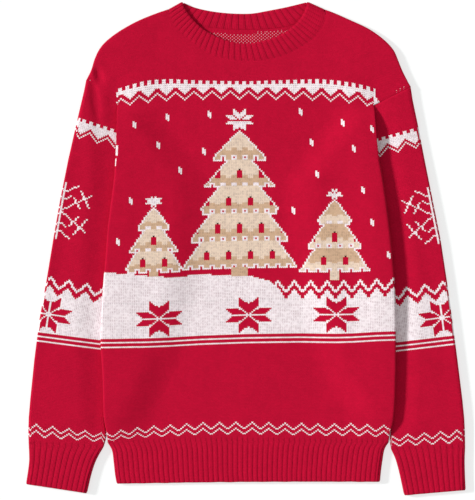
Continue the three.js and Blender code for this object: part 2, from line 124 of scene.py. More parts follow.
# Body. Its outline is a table of left and right edges, as it lies.
body = {
    "sides": table("y left right", [
        (196.6, -176.3, 175.2),
        (135, -178, 180.4),
        (97, -180.8, 187),
        (58, -185.6, 192.7),
        (27, -189.5, 196.6),
        (-10, -192.3, 200.5),
        (-58, -196.2, 204),
        (-120, -199.3, 205.2),
        (-177, -196.5, 205),
        (-234, -194.5, 202),
        (-256, -190.7, 197.3),
        (-266, -189.8, 195.6),
    ]),
    "rise": table("y rise", [
        (196.6, 0),
        (184, 4.6),
        (168, 6.2),
        (-208, 6.2),
        (-232, 5.6),
        (-266, 0),
    ]),
    "armhole": {"left": ((-219.2, 230.8), (-176.3, 196.6)), "right": ((226, 221.3), (175.2, 196.6))},
    "shoulders": table("y left right", [
        (244.5, -212.4, 214.3),
        (258.2, -208.2, 208.8),
        (270.5, -202.8, 203.5),
        (280.2, -195.9, 195.9),
        (291.1, -183.6, 183.6),
        (302.1, -167.1, 167.1),
        (313, -146.6, 143.9),
        (324, -119.2, 119),
    ]),
    "lift": table("y left right", [
        (196.6, 0, 0),
        (178, 0, 1.4),
        (120, 0, 2),
        (50, 0, 3.4),
        (-50, 0, 3.2),
        (-130, 0, 1.2),
        (-266, 0, 0),
    ]),
    "hem": {"sag": 2.3, "width": 390},
    "puff": 2.6,  # height over two pressed layers, at the side folds
    "centrePuff": 1.4,
    # ramps from nothing to all, in mm: in from the sides, off a sleeve, up to the neck and down to the hem
    "sideRamp": (10, 70),
    "sleeveRamp": (9, 65),
    "neckRamp": {"up": (232, 268), "out": (100, 150)},
    "hemRamp": (-266, -236),
    "underarm": {"x": 176, "y": 197, "wide": 22, "high": 24, "flat": 0.9},  # pressed where seams meet
}

neck = {
    "frontSeam": table("y left right", [
        (327.8, -107, 108.2),
        (316, -103.5, 109),
        (304, -97.5, 104.8),
        (290, -82.8, 94.8),
        (277, -66, 76.5),
        (265, -47, 53.5),
        (259, -24, 28.5),
        (257, 2, 2),
    ]),
    "frontEdge": table("y left right", [
        (338.5, -87.7, 84.9),
        (328.9, -83.7, 81.9),
        (315.5, -74.1, 74.9),
        (301, -58.8, 60),
        (291.4, -41.5, 43.5),
        (283.7, -21, 19.5),
        (280.9, 0.8, 0.8),
    ]),
    "backSeam": table("y left right", [
        (327.8, -107, 108.2),
        (316, -84, 83),
        (305.8, -62, 60),
        (301.5, -28, 30),
        (300.4, 0.8, 0.8),
    ]),
    "backEdge": table("y left right", [
        (338.5, -87.7, 84.9),
        (331.4, -72, 56),
        (326.1, -50, 29),
        (323, -25, 12),
        (322.2, 0.8, 0.8),
    ]),
    "height": 6.4,
    "frontRibs": 36,
    "backRibs": 22,
    "ribHeight": 0.5,
}

# Sleeves: outer and inner fold; the inner one starts at the underarm and lies under the body. Courses are how
# the knitted rows lie: their height at the outer fold and how far they drop for each mm towards the body.
sleeves = {
    "left": {
        "side": -1,
        "seamDip": 0,
        "folds": table("y outer inner", [
            (230.8, -219.2),
            (217, -221.9),
            (176, -231.5),
            (121, -244),
            (66, -255, -111),
            (12, -264.5, -114),
            (-43, -273.5, -125),
            (-98, -283.4, -137),
            (-153, -290.4, -153),
            (-208, -296, -178),
            (-232, -298, -194.9),
            (-250, -298.5, -192.1),
            (-257, -298.4, -191.1),
            (-262, -298.2, -192.2),
            (-272, -298, -195.2),
        ]),
        "courses": table("y drop", [
            (230.8, 0.797),
            (190, 0.36),
            (170, 0.3),
            (100, 0.16),
            (40, 0.12),
            (-40, 0.19),
            (-110, 0.13),
            (-180, 0.13),
            (-240, 0.13),
            (-267.8, 0.041),
        ]),
        "marks": {
            "teeth": 178.5, "flake": 50.5, "zigzag": -36, "star": -88.5,
            "bandEnd": -113.5, "hemZigzag": -239,
        },
        "flakeOffset": 11.25,
        "starOffset": 18.75,
        "peak": 13.75,
        "hemPeak": 18.75,
    },
    "right": {
        "side": 1,
        "seamDip": 0.35,
        "folds": table("y outer inner", [
            (221.3, 226),
            (203, 228.8),
            (170, 235.8),
            (121, 245.2),
            (66, 256.2, 111),
            (12, 267, 114),
            (-43, 275.4, 125),
            (-98, 283, 137),
            (-153, 290.2, 153),
            (-208, 297, 184),
            (-232, 299.4, 202.5),
            (-250, 300.3, 198.9),
            (-258, 300.5, 197.4),
            (-263, 300.6, 197),
            (-276, 300.7, 199.3),
        ]),
        "courses": table("y drop", [
            (221.3, 0.486),
            (190, 0.3),
            (165, 0.27),
            (100, 0.16),
            (40, 0.11),
            (-40, 0.16),
            (-110, 0.12),
            (-180, 0.12),
            (-240, 0.1),
            (-272, 0.0395),
        ]),
        "marks": {
            "teeth": 167.5, "flake": 45, "zigzag": -43, "star": -94.5,
            "bandEnd": -119, "hemZigzag": -247,
        },
        "flakeOffset": 11.25,
        "starOffset": 21.25,
        "peak": 13.75,
        "hemPeak": 18.75,
    },
}

ribBands = {
    "hem_rib": {
        "sides": table("left right", [
            ((-189.8, -266), (195.6, -266)),
            ((-184, -276.1), (190.4, -274.7)),
            ((-181.5, -292.5), (187, -292.5)),
            ((-179.5, -310.3), (185, -307.6)),
            ((-177.3, -322.6), (184, -320)),
        ]),
        "ribs": 54,
        "height": 6.8,
        "sag": 2.3,
        "rows": 28,
    },
    "cuff_left": {
        "sides": table("left right", [
            ((-298, -267.8), (-195.2, -272)),
            ((-297.3, -289.8), (-205.1, -289.8)),
            ((-298.7, -303.5), (-211, -306.2)),
            ((-301.7, -323), (-218.1, -335.8)),
        ]),
        "ribs": 12,
        "height": 7.2,
        "sag": 0,
        "rows": 28,
    },
    "cuff_right": {
        "sides": table("left right", [
            ((199.3, -276), (300.7, -272)),
            ((204.7, -287.7), (300, -290)),
            ((209.6, -304.6), (300.4, -310)),
            ((217, -338.5), (301.4, -331.3)),
        ]),
        "ribs": 12,
        "height": 7.2,
        "sag": 0,
        "rows": 28,
    },
}

# Soft creases: ridges where height is above 0, troughs below. angle is the crease's line against +X.
creases = table("x y angle length width height", [
    (-209, 238, 106, 10, 4, 1.8),
    (-202, 237, 112, 10, 5.5, -3.6),
    (-206, 200, 98, 32, 6, -3.2),
    (-222, 172, 99, 60, 9, 0.7),
    (-150, 214, 38, 40, 12, 0.8),
    (158, 214, 140, 42, 12, 0.8),
    (-120, -190, 96, 90, 22, -0.7),
    (96, -196, 84, 80, 24, -0.8),
    (8, -210, 92, 70, 30, 0.6),
    (-60, 60, 70, 120, 34, 0.5),
    (84, 40, 108, 120, 36, 0.5),
    (-262, -70, 82, 90, 12, -0.8),
    (262, -100, 98, 90, 12, -0.8),
    (-240, 60, 80, 70, 12, -0.6),
    (244, 150, 104, 40, 10, -0.7),
])
creaseReach = 3  # in widths or lengths of a crease
for crease in creases:
    turn = math.radians(crease["angle"])
    crease["way"] = (math.cos(turn), math.sin(turn))


def creaseHeight(x, y):
    height = 0
    for crease in creases:
        dx = x - crease["x"]
        dy = y - crease["y"]
        c, s = crease["way"]
        along = (dx * c + dy * s) / crease["length"]
        across = (dy * c - dx * s) / crease["width"]
        far = along * along + across * across
        if far < creaseReach ** 2:
            height += crease["height"] * math.exp(-far)
    return height


def sideEdge(side, y):
    return tableValue(body["sides"], side, "y", y)


def innerFolds(side):
    return [row for row in sleeves[side]["folds"] if "inner" in row]


# How far in beneath the body a sleeve lies: from the body's side, along its inner fold, and out again.
cover = {"top": 180, "whole": 92, "lowestFold": -210, "end": -238}
reachRows = {}
for side in sleeves:
    folds = [(row["y"], row["inner"]) for row in innerFolds(side) if row["y"] > cover["lowestFold"]]
    reachRows[side] = table("y x", [
        (cover["top"], sideEdge(side, cover["top"])),
        (cover["whole"], folds[0][1]),
        *folds[1:],
        (cover["end"], sideEdge(side, cover["end"])),
    ])


# Height of the body's underside: it lies on the floor, and over the sleeves beneath its sides.
def bodyBase(x, y):
    side = "left" if x < 0 else "right"
    covered = cover["end"] < y < cover["top"]
    reach = tableValue(reachRows[side], "x", "y", y) if covered else sideEdge(side, y)
    raised = 1 - smoothstep(abs(reach) - abs(x), *body["sleeveRamp"])
    return tableValue(body["rise"], "rise", "y", y) * raised if raised > 0 else 0


# Height of the body's two layers together.
def bodyHeight(x, y):
    side = "left" if x < 0 else "right"
    sides = 1 - smoothstep(abs(sideEdge(side, y)) - abs(x), *body["sideRamp"])
    spot = body["underarm"]
    pressed = math.exp(-(((abs(x) - spot["x"]) / spot["wide"]) ** 2) - ((y - spot["y"]) / spot["high"]) ** 2)
    puff = lerp(body["centrePuff"], body["puff"], sides) * (1 - spot["flat"] * pressed)
    height = cloth["pressed"] + max(0, puff + creaseHeight(x, y))
    height += sides * tableValue(body["lift"], side, "y", y)
    nearNeck = smoothstep(y, *body["neckRamp"]["up"]) * (1 - smoothstep(abs(x), *body["neckRamp"]["out"]))
    nearHem = 1 - smoothstep(y, *body["hemRamp"])
    return lerp(lerp(height, neck["height"], nearNeck), ribBands["hem_rib"]["height"], nearHem)


# Height of a sleeve's two layers together: pressed flat under the body, fuller beside it.
sleeveRamps = {"free": (6, 36), "cuff": (-270, -236), "beside": (1, 20), "seam": (0, 45)}


def sleeveHeight(side, x, y):
    out = abs(x) - abs(sideEdge(side, y))
    nearCuff = 1 - smoothstep(y, *sleeveRamps["cuff"])
    height = cloth["pressed"]
    height += smoothstep(out, *sleeveRamps["free"]) * max(0, body["puff"] + creaseHeight(x, y))
    (shoulderX, shoulderY), (foldX, foldY) = body["armhole"][side]
    seamLine = max(shoulderY + (foldY - shoulderY) / (foldX - shoulderX) * (x - shoulderX), foldY)
    nearSeam = smoothstep(out, *sleeveRamps["beside"]) * (1 - smoothstep(seamLine - y, *sleeveRamps["seam"]))
    return lerp(lerp(height, bodyHeight(x, y), nearSeam), ribBands["cuff_left"]["height"], nearCuff)


# How the knitted rows of the body lie: mm above or below level, by height on the garment.
courseWarp = table("x chest under snow hem", [
    (-200, -14, -16, -6.5, -15),
    (-177, -10.5, -11.5, -6.3, -12),
    (-160, -5, -8, -6, -9),
    (-141, 1, -5.8, -5.8, -6.8),
    (-128, 3, -3.6, -5.4, -5.6),
    (-104, 4.1, -1.8, -4.6, -4.2),
    (-63, 1.4, -0.3, -2.2, -0.9),
    (0, 0, 0, 0, 0),
    (74, 3, -0.9, 1, -1.8),
    (101, 4.1, -2, 0.6, -2.8),
    (124, 2, -3.2, 0.6, -2.6),
    (146, -1.4, -5.8, 1.2, -2),
    (165, -5.7, -8.6, 2.4, -3.4),
    (177, -10, -11.5, 3.2, -3.6),
    (200, -16, -17, 4, -5),
])
warpLevels = table("y chest under snow hem", [
    (320, 0, 0, 0, 0),
    (231, 1, 0, 0, 0),
    (218, 0, 1, 0, 0),
    (203, 0, 1, 0, 0),
    (60, 0, 0.12, 0.4, 0),
    (-50, 0, 0, 1, 0),
    (-130, 0, 0, 1, 0),
    (-238, 0, 0, 0, 1),
    (-252, 0, 0, 0, 0.75),
    (-266, 0, 0, 0, 0),
])
hemRows = (-266, -240)  # rows that follow the sag of the hem seam


def warp(x, row):
    total = 0
    for level in ("chest", "under", "snow", "hem"):
        weight = tableValue(warpLevels, level, "y", row)
        if weight > 0:
            total += weight * tableValue(courseWarp, level, "x", x)
    nearSeam = 1 - smoothstep(row, *hemRows)
    sag = body["hem"]["sag"] * math.cos(math.pi * clamp(x / body["hem"]["width"], -0.5, 0.5))
    return total + nearSeam * sag


firstRow = -270.2  # height of the lowest row of stitches on the panels


def snapRow(y, start=firstRow):
    return start + round((y - start) / stitch["height"]) * stitch["height"]


# Whole stitches to the nearest peak of a zigzag, and whole rows down from a line.
def fromPeak(x, peak, period):
    away = (x - peak) % period
    return round(min(away, period - away) / stitch["width"])


def wholeRows(distance):
    return math.floor(distance / stitch["height"] + 0.001)


def rowsDown(y, top):
    return wholeRows(top - y)


# Zigzags: how many rows thick, their period in mm, and the rows that their lines take from a peak, stitch by
# stitch. The thin one runs round the hems, the others along the snow on the body and on the sleeves.
zigzags = {
    "thin": {"thick": 1, "period": 22.5, "rows": [(0, 0), (1, 1), (2, 2), (3, 3), (4, 4)]},
    "body": {"thick": 2, "period": 22.5, "rows": [(0, 0), (1, 2), (3, 3), (4, 5), (6, 6)]},
    "sleeve": {"thick": 2, "period": 25, "rows": [(0, 0), (1, 1), (2, 3), (4, 4), (5, 5), (6, 6)]},
}


def zigzagAt(kind, x, peak):
    rows = zigzags[kind]["rows"]
    return rows[min(fromPeak(x, peak, zigzags[kind]["period"]), len(rows) - 1)]


def onZigzag(kind, x, y, peak, top):
    high, low = zigzagAt(kind, x, peak)
    return high <= rowsDown(y, top) < low + zigzags[kind]["thick"]


# A band with teeth along its top, a pointed lower edge, and one thin zigzag below it: the rows of the edge,
# stitch by stitch from a peak, and the row of the zigzag at a peak. The sleeves' band is the deeper one.
teethBand = {
    "period": 25,
    "toothPeriod": 10,
    "teeth": 2,
    "body": {"edge": [4, 4, 5, 6, 7, 8], "line": 6},
    "sleeve": {"edge": [5, 6, 7, 8, 9, 10], "line": 7},
}


def teethYarn(kind, x, y, peak, top):
    down = rowsDown(y, top)
    if down < 0:
        return None
    if down < teethBand["teeth"]:
        place = (x - peak - stitch["width"] / 2) % teethBand["toothPeriod"]
        return "white" if place < teethBand["toothPeriod"] / 2 else None
    chart = teethBand[kind]
    away = min(fromPeak(x, peak, teethBand["period"]), len(chart["edge"]) - 1)
    return "white" if down < chart["edge"][away] or down == chart["line"] + away else None


# Eight petals, each a leaning parallelogram, parted by thin lines; an upright one only where it is split.
petalStar = {"halfWidth": 33, "halfHeight": 25, "arm": 0.4, "length": 0.6, "line": 0.05}


def inStar(dx, dy, size=1, split=False):
    x = abs(dx) / (petalStar["halfWidth"] * size)
    y = abs(dy) / (petalStar["halfHeight"] * size)
    if min(abs(x - y), y) < petalStar["line"] or (split and x < petalStar["line"]):
        return False
    across = 0 <= x - y <= petalStar["length"] and y <= petalStar["arm"]
    upright = 0 <= y - x <= petalStar["length"] and x <= petalStar["arm"]
    return across or upright


# A quarter of a snowflake in stitches and rows: arms, then the pairs of side branches on them.
flakeLines = [
    ((0, 0), (0, 18)),
    ((0, 7), (4, 10)),
    ((0, 12), (7, 17)),
    ((0, 0), (15, 12)),
    ((6, 9), (10, 3)),
    ((9, 14), (15, 4)),
]


def flakeCells():
    cells = set()
    for (x0, y0), (x1, y1) in flakeLines:
        steps = max(abs(x1 - x0), abs(y1 - y0))
        for k in range(steps + 1):
            x = round(x0 + (x1 - x0) * k / steps)
            y = round(y0 + (y1 - y0) * k / steps)
            cells |= {(x, y), (-x, y), (x, -y), (-x, -y)}
    return cells


snowflake = flakeCells()

# A snow fleck: its columns of stitches, and the rows that each takes.
fleckRows = {0: (-1, 3), 1: (-2, 2)}


def inFleck(x, y, fleckX, fleckY):
    column = math.floor(x / stitch["width"]) - math.floor(fleckX / stitch["width"])
    if column not in fleckRows:
        return False
    low, high = fleckRows[column]
    return low <= wholeRows(y - snapRow(fleckY)) < high


# Front: the border bands follow a common winter pattern, and fir trees stand on the snow between them.
# Heights are those of rows; those of stars, dots and stripes are at the middle of a row.
halfRow = stitch["height"] / 2
frontPattern = {
    "teethTop": snapRow(229.2),
    "teethPeak": 3.75,
    "halfWidth": 178,  # of the teeth band
    "zigzag": {"peak": 66.25, "top": snapRow(-43.2), "snow": 6},
    "dots": snapRow(-71.5) + halfRow,
    "stars": [-118.75, 3.75, 123.75],
    "starY": snapRow(-91.1) + halfRow,
    "bandEnd": snapRow(-117),
    "stripes": [snapRow(-123) + halfRow, snapRow(-129.5) + halfRow],
    "hem": {"peak": -13.75, "tops": [snapRow(-236.6), snapRow(-245)]},
    "flecks": [
        (-155, 175.4), (-109, 180.6), (-52.5, 184), (72.5, 187.9), (130, 175.6), (170, 171.2), (-122.5, 143),
        (87.5, 145), (145, 139.3), (-160, 68.6), (95, 102), (157.5, 81.5), (192.5, -11), (-92.5, 108),
        (170, 34), (-60, 132), (-176, 14), (62.5, 52),
    ],
    "fieldTop": 199,
    "fieldEnd": -38,
    "zigzagPart": {"from": 36, "above": -60},  # the snow's zigzag takes over from the drift
}
# What the border leaves at the sides: white stitches down the left side, and a corner at the right armhole.
leftWhite = table("low high from to", [
    (135.5, 149, -180, -175),
    (120, 130, -180, -177.5),
])
rightWhite = {"from": 175, "low": 207, "high": 222, "slope": 1.2, "step": 2.2, "rowsFrom": 230}
# Fir trees: place of the foot, height, half width of the lowest tier, tiers from the top down.
trees = table("x foot top half tiers leaf shade star", [
    (-8.75, -46, 160, 78, 5, "cream", "tan", 0.62),
    (121.25, -43, 66, 46, 3, "tan", "cream", 0.36),
    (-126.25, -38, 58, 40, 3, "cream", "tan", 0.36),
])
# Shares of a tree's half width, and of the height of a tier where the name says so. A tier's half width grows
# from its top to its foot, and from the first tier to the last by what is added.
firTree = {
    "trunkHeight": 5 / 19,
    "trunkHalf": 0.13,
    "tierTop": {"first": 0.02, "added": 0.78},
    "tierFoot": {"first": 0.34, "added": 0.66},
    "tipHalf": 2,
    "scallop": {"period": 15, "tierShare": 0.16, "tierFrom": 0.8},
    "shade": {"tierFrom": 0.68, "deeper": 0.1},
    "star": 27,  # mm from the top to the middle of a star of full size
    "reach": {"across": 6, "below": 4, "above": 40},  # mm round a tree in which its yarns are looked for
}
bauble = {"every": 30, "tierShare": 0.56, "halfWidth": 4.5, "halfHeight": 5.5, "corner": 8.2}
thread = {"halfWidth": 1.5, "length": 7.6}
drift = table("x y", [
    (-210, -28),
    (-185, -27),
    (-160, -29),
    (-124, -33),
    (-100, -35),
    (-60, -33),
    (-20, -36),
    (10, -38),
    (32, -44),
    (46, -56),
    (56, -75),
])
driftEnd = 57


def trunkHeight(tree):
    return firTree["trunkHeight"] * tree["half"]


def treePart(tree, x, y):
    low = tree["foot"] + trunkHeight(tree)
    share = (tree["top"] - y) / (tree["top"] - low)
    if share < 0:
        return None
    if share >= 1:
        return ("trunk", 0) if y > tree["foot"] and abs(x) < tree["half"] * firTree["trunkHalf"] else None
    place = share * tree["tiers"]
    tier = int(place)
    within = place - tier
    top, foot, scallop = firTree["tierTop"], firTree["tierFoot"], firTree["scallop"]
    start = top["first"] + top["added"] * tier / tree["tiers"]
    end = foot["first"] + foot["added"] * (tier + 1) / tree["tiers"]
    half = tree["half"] * lerp(start, end, within)
    between = within > scallop["tierFrom"] and fromPeak(x, 0, scallop["period"]) > 1
    gap = scallop["tierShare"] if between else 0
    return ("leaf", within) if abs(x) < max(half, firTree["tipHalf"]) and within < 1 - gap else None


def treeYarn(tree, x, y):
    dx = x - tree["x"]
    reach = firTree["reach"]
    if abs(dx) > tree["half"] + reach["across"]:
        return None
    if not tree["foot"] - reach["below"] < y < tree["top"] + reach["above"]:
        return None
    if inStar(dx, y - tree["top"] - firTree["star"] * tree["star"], tree["star"]):
        return "white"
    found = treePart(tree, dx, y)
    if found is None:
        # one stitch of white round the leaves
        for columns, rows in ((1, 0), (-1, 0), (0, 1), (0, -1), (1, 1), (-1, 1)):
            near = treePart(tree, dx + columns * stitch["width"], y + rows * stitch["height"])
            if near and near[0] == "leaf":
                return "white"
        return None
    part, within = found
    if part == "trunk":
        return tree["shade"]
    tall = (tree["top"] - tree["foot"] - trunkHeight(tree)) / tree["tiers"]
    tier = math.floor((tree["top"] - y) / tall)
    every = bauble["every"]
    across = abs((dx + (tier % 2) * every / 2 + 10 * every) % every - every / 2)
    down = (tree["top"] - y) - (tier + bauble["tierShare"]) * tall
    inBox = across < bauble["halfWidth"] and abs(down) < bauble["halfHeight"]
    if tier >= 1 and inBox and across + abs(down) < bauble["corner"]:
        return "red"
    if tier >= 1 and across < thread["halfWidth"] and -thread["length"] < down < 0:
        return "dark"
    deeper = firTree["shade"]["deeper"] * (fromPeak(dx, 0, firTree["scallop"]["period"]) > 1)
    return tree["shade"] if within > firTree["shade"]["tierFrom"] - deeper else tree["leaf"]


def inRow(y, middle):
    return abs(y - middle) < halfRow - 0.01


def bandYarn(x, y, pattern):
    if y < pattern["bandEnd"]:
        if any(inRow(y, stripe) for stripe in pattern["stripes"]):
            return "white"
        hem = pattern["hem"]
        return "white" if any(onZigzag("thin", x, y, hem["peak"], top) for top in hem["tops"]) else "red"
    for centre in pattern["stars"]:
        if inStar(x - centre, y - pattern["starY"]):
            return "red"
    return None


def dottedYarn(x, y, pattern):
    return "dotted" if inRow(y, pattern["dots"]) and x % (2 * stitch["width"]) < stitch["width"] else "white"


def snowYarn(x, y, pattern):
    zig = pattern["zigzag"]
    high, low = zigzagAt("body", x, zig["peak"])
    if rowsDown(y, zig["top"]) >= high + zig["snow"]:
        return dottedYarn(x, y, pattern)
    return "white" if onZigzag("body", x, y, zig["peak"], zig["top"]) else "red"


# The armholes' seams are linked in white yarn, which shows as a few small dots near their ends.
linking = [
    {"side": "left", "from": -217, "to": -209, "above": (4.4, 6.5)},
    {"side": "right", "from": 205, "to": 220, "above": (4.4, 6.5)},
]


def onLinking(x, y):
    for run in linking:
        if run["from"] < x < run["to"]:
            (endX, endY), (foldX, foldY) = body["armhole"][run["side"]]
            seamY = lerp(foldY, endY, (x - foldX) / (endX - foldX)) - warp(x, y)
            low, high = run["above"]
            return low < y - seamY < high and x % (2 * stitch["width"]) < stitch["width"]
    return False


def bodyTeeth(x, y):
    teeth = teethYarn("body", x, y, frontPattern["teethPeak"], frontPattern["teethTop"])
    return teeth if abs(x) < frontPattern["halfWidth"] else None


# White stitches that the border leaves along the body's sides.
def atSide(x, y):
    corner = rightWhite["high"] - rightWhite["slope"] * (x - rightWhite["from"])
    corner += rightWhite["step"] * (rowsDown(y, rightWhite["rowsFrom"]) % 2)
    if x > rightWhite["from"] and rightWhite["low"] < y < corner:
        return True
    return any(run["low"] < y < run["high"] and run["from"] < x < run["to"] for run in leftWhite)


def frontYarn(x, y):
    pattern = frontPattern
    if onLinking(x, y):
        return "flecked"
    if y > pattern["teethTop"]:
        return "red"
    teeth = bodyTeeth(x, y)
    if teeth:
        return teeth
    if atSide(x, y):
        return "white"
    if y > pattern["fieldTop"]:
        return "red"
    low = bandYarn(x, y, pattern)
    if low:
        return low
    if y < tableValue(drift, "y", "x", x) and x < driftEnd:
        return dottedYarn(x, y, pattern)
    for tree in trees:
        found = treeYarn(tree, x, y)
        if found:
            return found
    if y < pattern["fieldEnd"]:
        onZigzagPart = x > pattern["zigzagPart"]["from"] or y < pattern["zigzagPart"]["above"]
        return snowYarn(x, y, pattern) if onZigzagPart else "red"
    return "white" if any(inFleck(x, y, *fleck) for fleck in pattern["flecks"]) else "red"


# Back: the same bands, and an even scatter of flecks in place of the trees.
backFlecks = {"across": 70, "down": 35.7, "x": 35, "y": 17}


def backYarn(x, y):
    pattern = frontPattern
    banded = bodyTeeth(x, y) or bandYarn(x, y, pattern)
    if banded:
        return banded
    if y < pattern["fieldEnd"]:
        return snowYarn(x, y, pattern)
    if y < pattern["fieldTop"]:
        across, down = backFlecks["across"], backFlecks["down"]
        shift = (math.floor(y / down) % 2) * across / 2
        return "white" if inFleck((x + shift) % across, y % down, backFlecks["x"], backFlecks["y"]) else "red"
    return "red"


# Inside of the back below the neck: every other loop shows the white yarn that is carried behind it. It ends
# along a line with a slope to each side.
speckle = {"top": 295, "leftSlope": -0.03, "rightSlope": 0.09}


def backInsideYarn(x, y):
    column = math.floor(x / stitch["width"])
    row = math.floor((y - firstRow) / stitch["height"])
    limit = speckle["top"] + speckle["rightSlope" if x > 0 else "leftSlope"] * x
    return "flecked" if y < limit and (column + row) % 2 else "red"


# Sleeves: across is the way in from the outer fold in mm, along the height at the outer fold.
sleevePattern = {
    "teethPeak": 3.75,
    "stripes": (5.25, 11.55),  # mm below the end of the band
    "snow": 6,  # rows from the zigzag's peak down to the snow
    "hemRows": 4,  # rows between the hem's two zigzags
    "hemDepth": 30,
}


def sleeveYarn(side, across, along):
    spec = sleeves[side]
    marks = spec["marks"]
    pattern = sleevePattern
    teeth = teethYarn("sleeve", across, along, pattern["teethPeak"], marks["teeth"])
    if teeth:
        return teeth
    flakeColumn = math.floor((across - spec["flakeOffset"]) / stitch["width"] + 0.5)
    if (flakeColumn, wholeRows(along - marks["flake"])) in snowflake:
        return "white"
    if along > marks["zigzag"] or along < marks["hemZigzag"] - pattern["hemDepth"]:
        return "red"
    if along < marks["bandEnd"]:
        if any(inRow(along, marks["bandEnd"] - drop) for drop in pattern["stripes"]):
            return "white"
        tops = (marks["hemZigzag"], marks["hemZigzag"] - pattern["hemRows"] * stitch["height"])
        inLine = any(onZigzag("thin", across, along, spec["hemPeak"], top) for top in tops)
        return "white" if inLine else "red"
    if inStar(across - spec["starOffset"], along - marks["star"] - halfRow, split=True):
        return "red"
    high, low = zigzagAt("sleeve", across, spec["peak"])
    snow = rowsDown(along, marks["zigzag"]) >= high + pattern["snow"]
    return "white" if snow or onZigzag("sleeve", across, along, spec["peak"], marks["zigzag"]) else "red"


def yarnLayers(bm):
    return bm.faces.layers.float.new("yarn"), bm.faces.layers.float.new("yarnAbove")


# Where the lines of ribs run, counted in ribs, and how far they have faded in.
def ribLayers(bm):
    return bm.verts.layers.float.new("ribPlace"), bm.verts.layers.float.new("ribFade")


def yarnValue(name):
    return (yarns.index(name) + 0.5) / len(yarns)


def finishPiece(name, bm, material, node):
    mesh = bpy.data.meshes.new(name)
    bm.to_mesh(mesh)
    bm.free()
    mesh.materials.append(material)
    piece = bpy.data.objects.new(name, mesh)
    bpy.context.scene.collection.objects.link(piece)
    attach(piece, "root")
    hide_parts(node)
    print(name, "has", len(mesh.polygons), "faces")


# Acrylic yarn, dyed: the colour of its loops, how often what lies behind shows between them, and its colour.
dyes = table("yarn loops show behind", [
    ("red", "#C60A34", 0, "#C60A34"),
    ("white", "#FFF3F6", 0.52, "#9C5468"),
    ("cream", "#F2DAC4", 0.4, "#9A6A62"),
    ("tan", "#D9B595", 0.35, "#86584E"),
    ("dotted", "#FFF3F6", 1, "#4A3038"),
    ("dark", "#1E1210", 0, "#1E1210"),
    ("flecked", "#C60A34", 1, "#FFE3EA"),
])
yarns = [dye["yarn"] for dye in dyes]


def linearColour(text):
    channels = [int(text[k:k + 2], 16) / 255 for k in (1, 3, 5)]
    return (*[c / 12.92 if c <= 0.04045 else ((c + 0.055) / 1.055) ** 2.4 for c in channels], 1)


def addNode(tree, kind, settings=None, links=None):
    made = tree.nodes.new(kind)
    for key, value in (settings or {}).items():
        setattr(made, key, value)
    for key, value in (links or {}).items():
        if isinstance(value, bpy.types.NodeSocket):
            tree.links.new(value, made.inputs[key])
        else:
            made.inputs[key].default_value = value
    return made


def fillRamp(ramp, values):
    ramp.interpolation = "CONSTANT"
    while len(ramp.elements) < len(values):
        ramp.elements.new(1)
    for k, value in enumerate(values):
        ramp.elements[k].position = k / len(values)
        ramp.elements[k].color = value


# Double knit of soft spun yarn: rows of Vs, each a loop of one of the yarns. The yarns behind show as small
# dots between pale loops, and the loops' own roundness and fuzz give the matt, slightly uneven face; painted
# shade darkens the colour down between the loops. Where the knit turns inward between ribs the groove is
# painted darker as shade; beside a rib its relief is bump, on the ribs it is the mesh.
knit = {
    "slant": 0.95,  # rows that a leg of a V rises from the middle of a stitch to its side
    "legRound": 0.6,
    "sideRound": 0.5,
    "closeIn": 0.05,  # share of a row by which plump red loops close in on pale ones
    "hole": {"high": 0.24, "wide": 0.22, "strength": 0.7},
    # the groove between ribs: how narrow it is, and how much darker its painted shade makes the colour
    "groove": {"narrow": 3.8, "dark": 0.36},
    # painted shade over folds: the least tone, and the levels of the upright part of the normal between which
    # it fades
    "paintedFoldShade": {"dark": 0.7, "from": 0.3, "to": 0.92},
    # tones: what is added for the whole of a value, over the least
    "mottled": (0.225, 0.8825),
    "loops": (0.08, 0.96),
    # painted shade down between the loops, darker where the relief is low
    "depths": (0.17, 0.86),
    "mottle": {"Scale": 60.0, "Detail": 4.0, "Roughness": 0.6},  # patches of about 17 mm
    "fuzz": {"Scale": 2400.0, "Detail": 2.0},  # fibres of about 0.4 mm
    "fuzzHeight": 0.25,
    "bump": {"Strength": 0.55, "Distance": 0.0006},  # a loop stands 0.6 mm high
    # loose fibres scatter the light: hardly any gloss, and a faint pale sheen
    "surface": {
        "Roughness": 0.9, "Specular IOR Level": 0.08, "IOR": 1.5,
        "Sheen Weight": 0.02, "Sheen Roughness": 0.5, "Sheen Tint": linearColour("#FFD9DE"),
    },
}


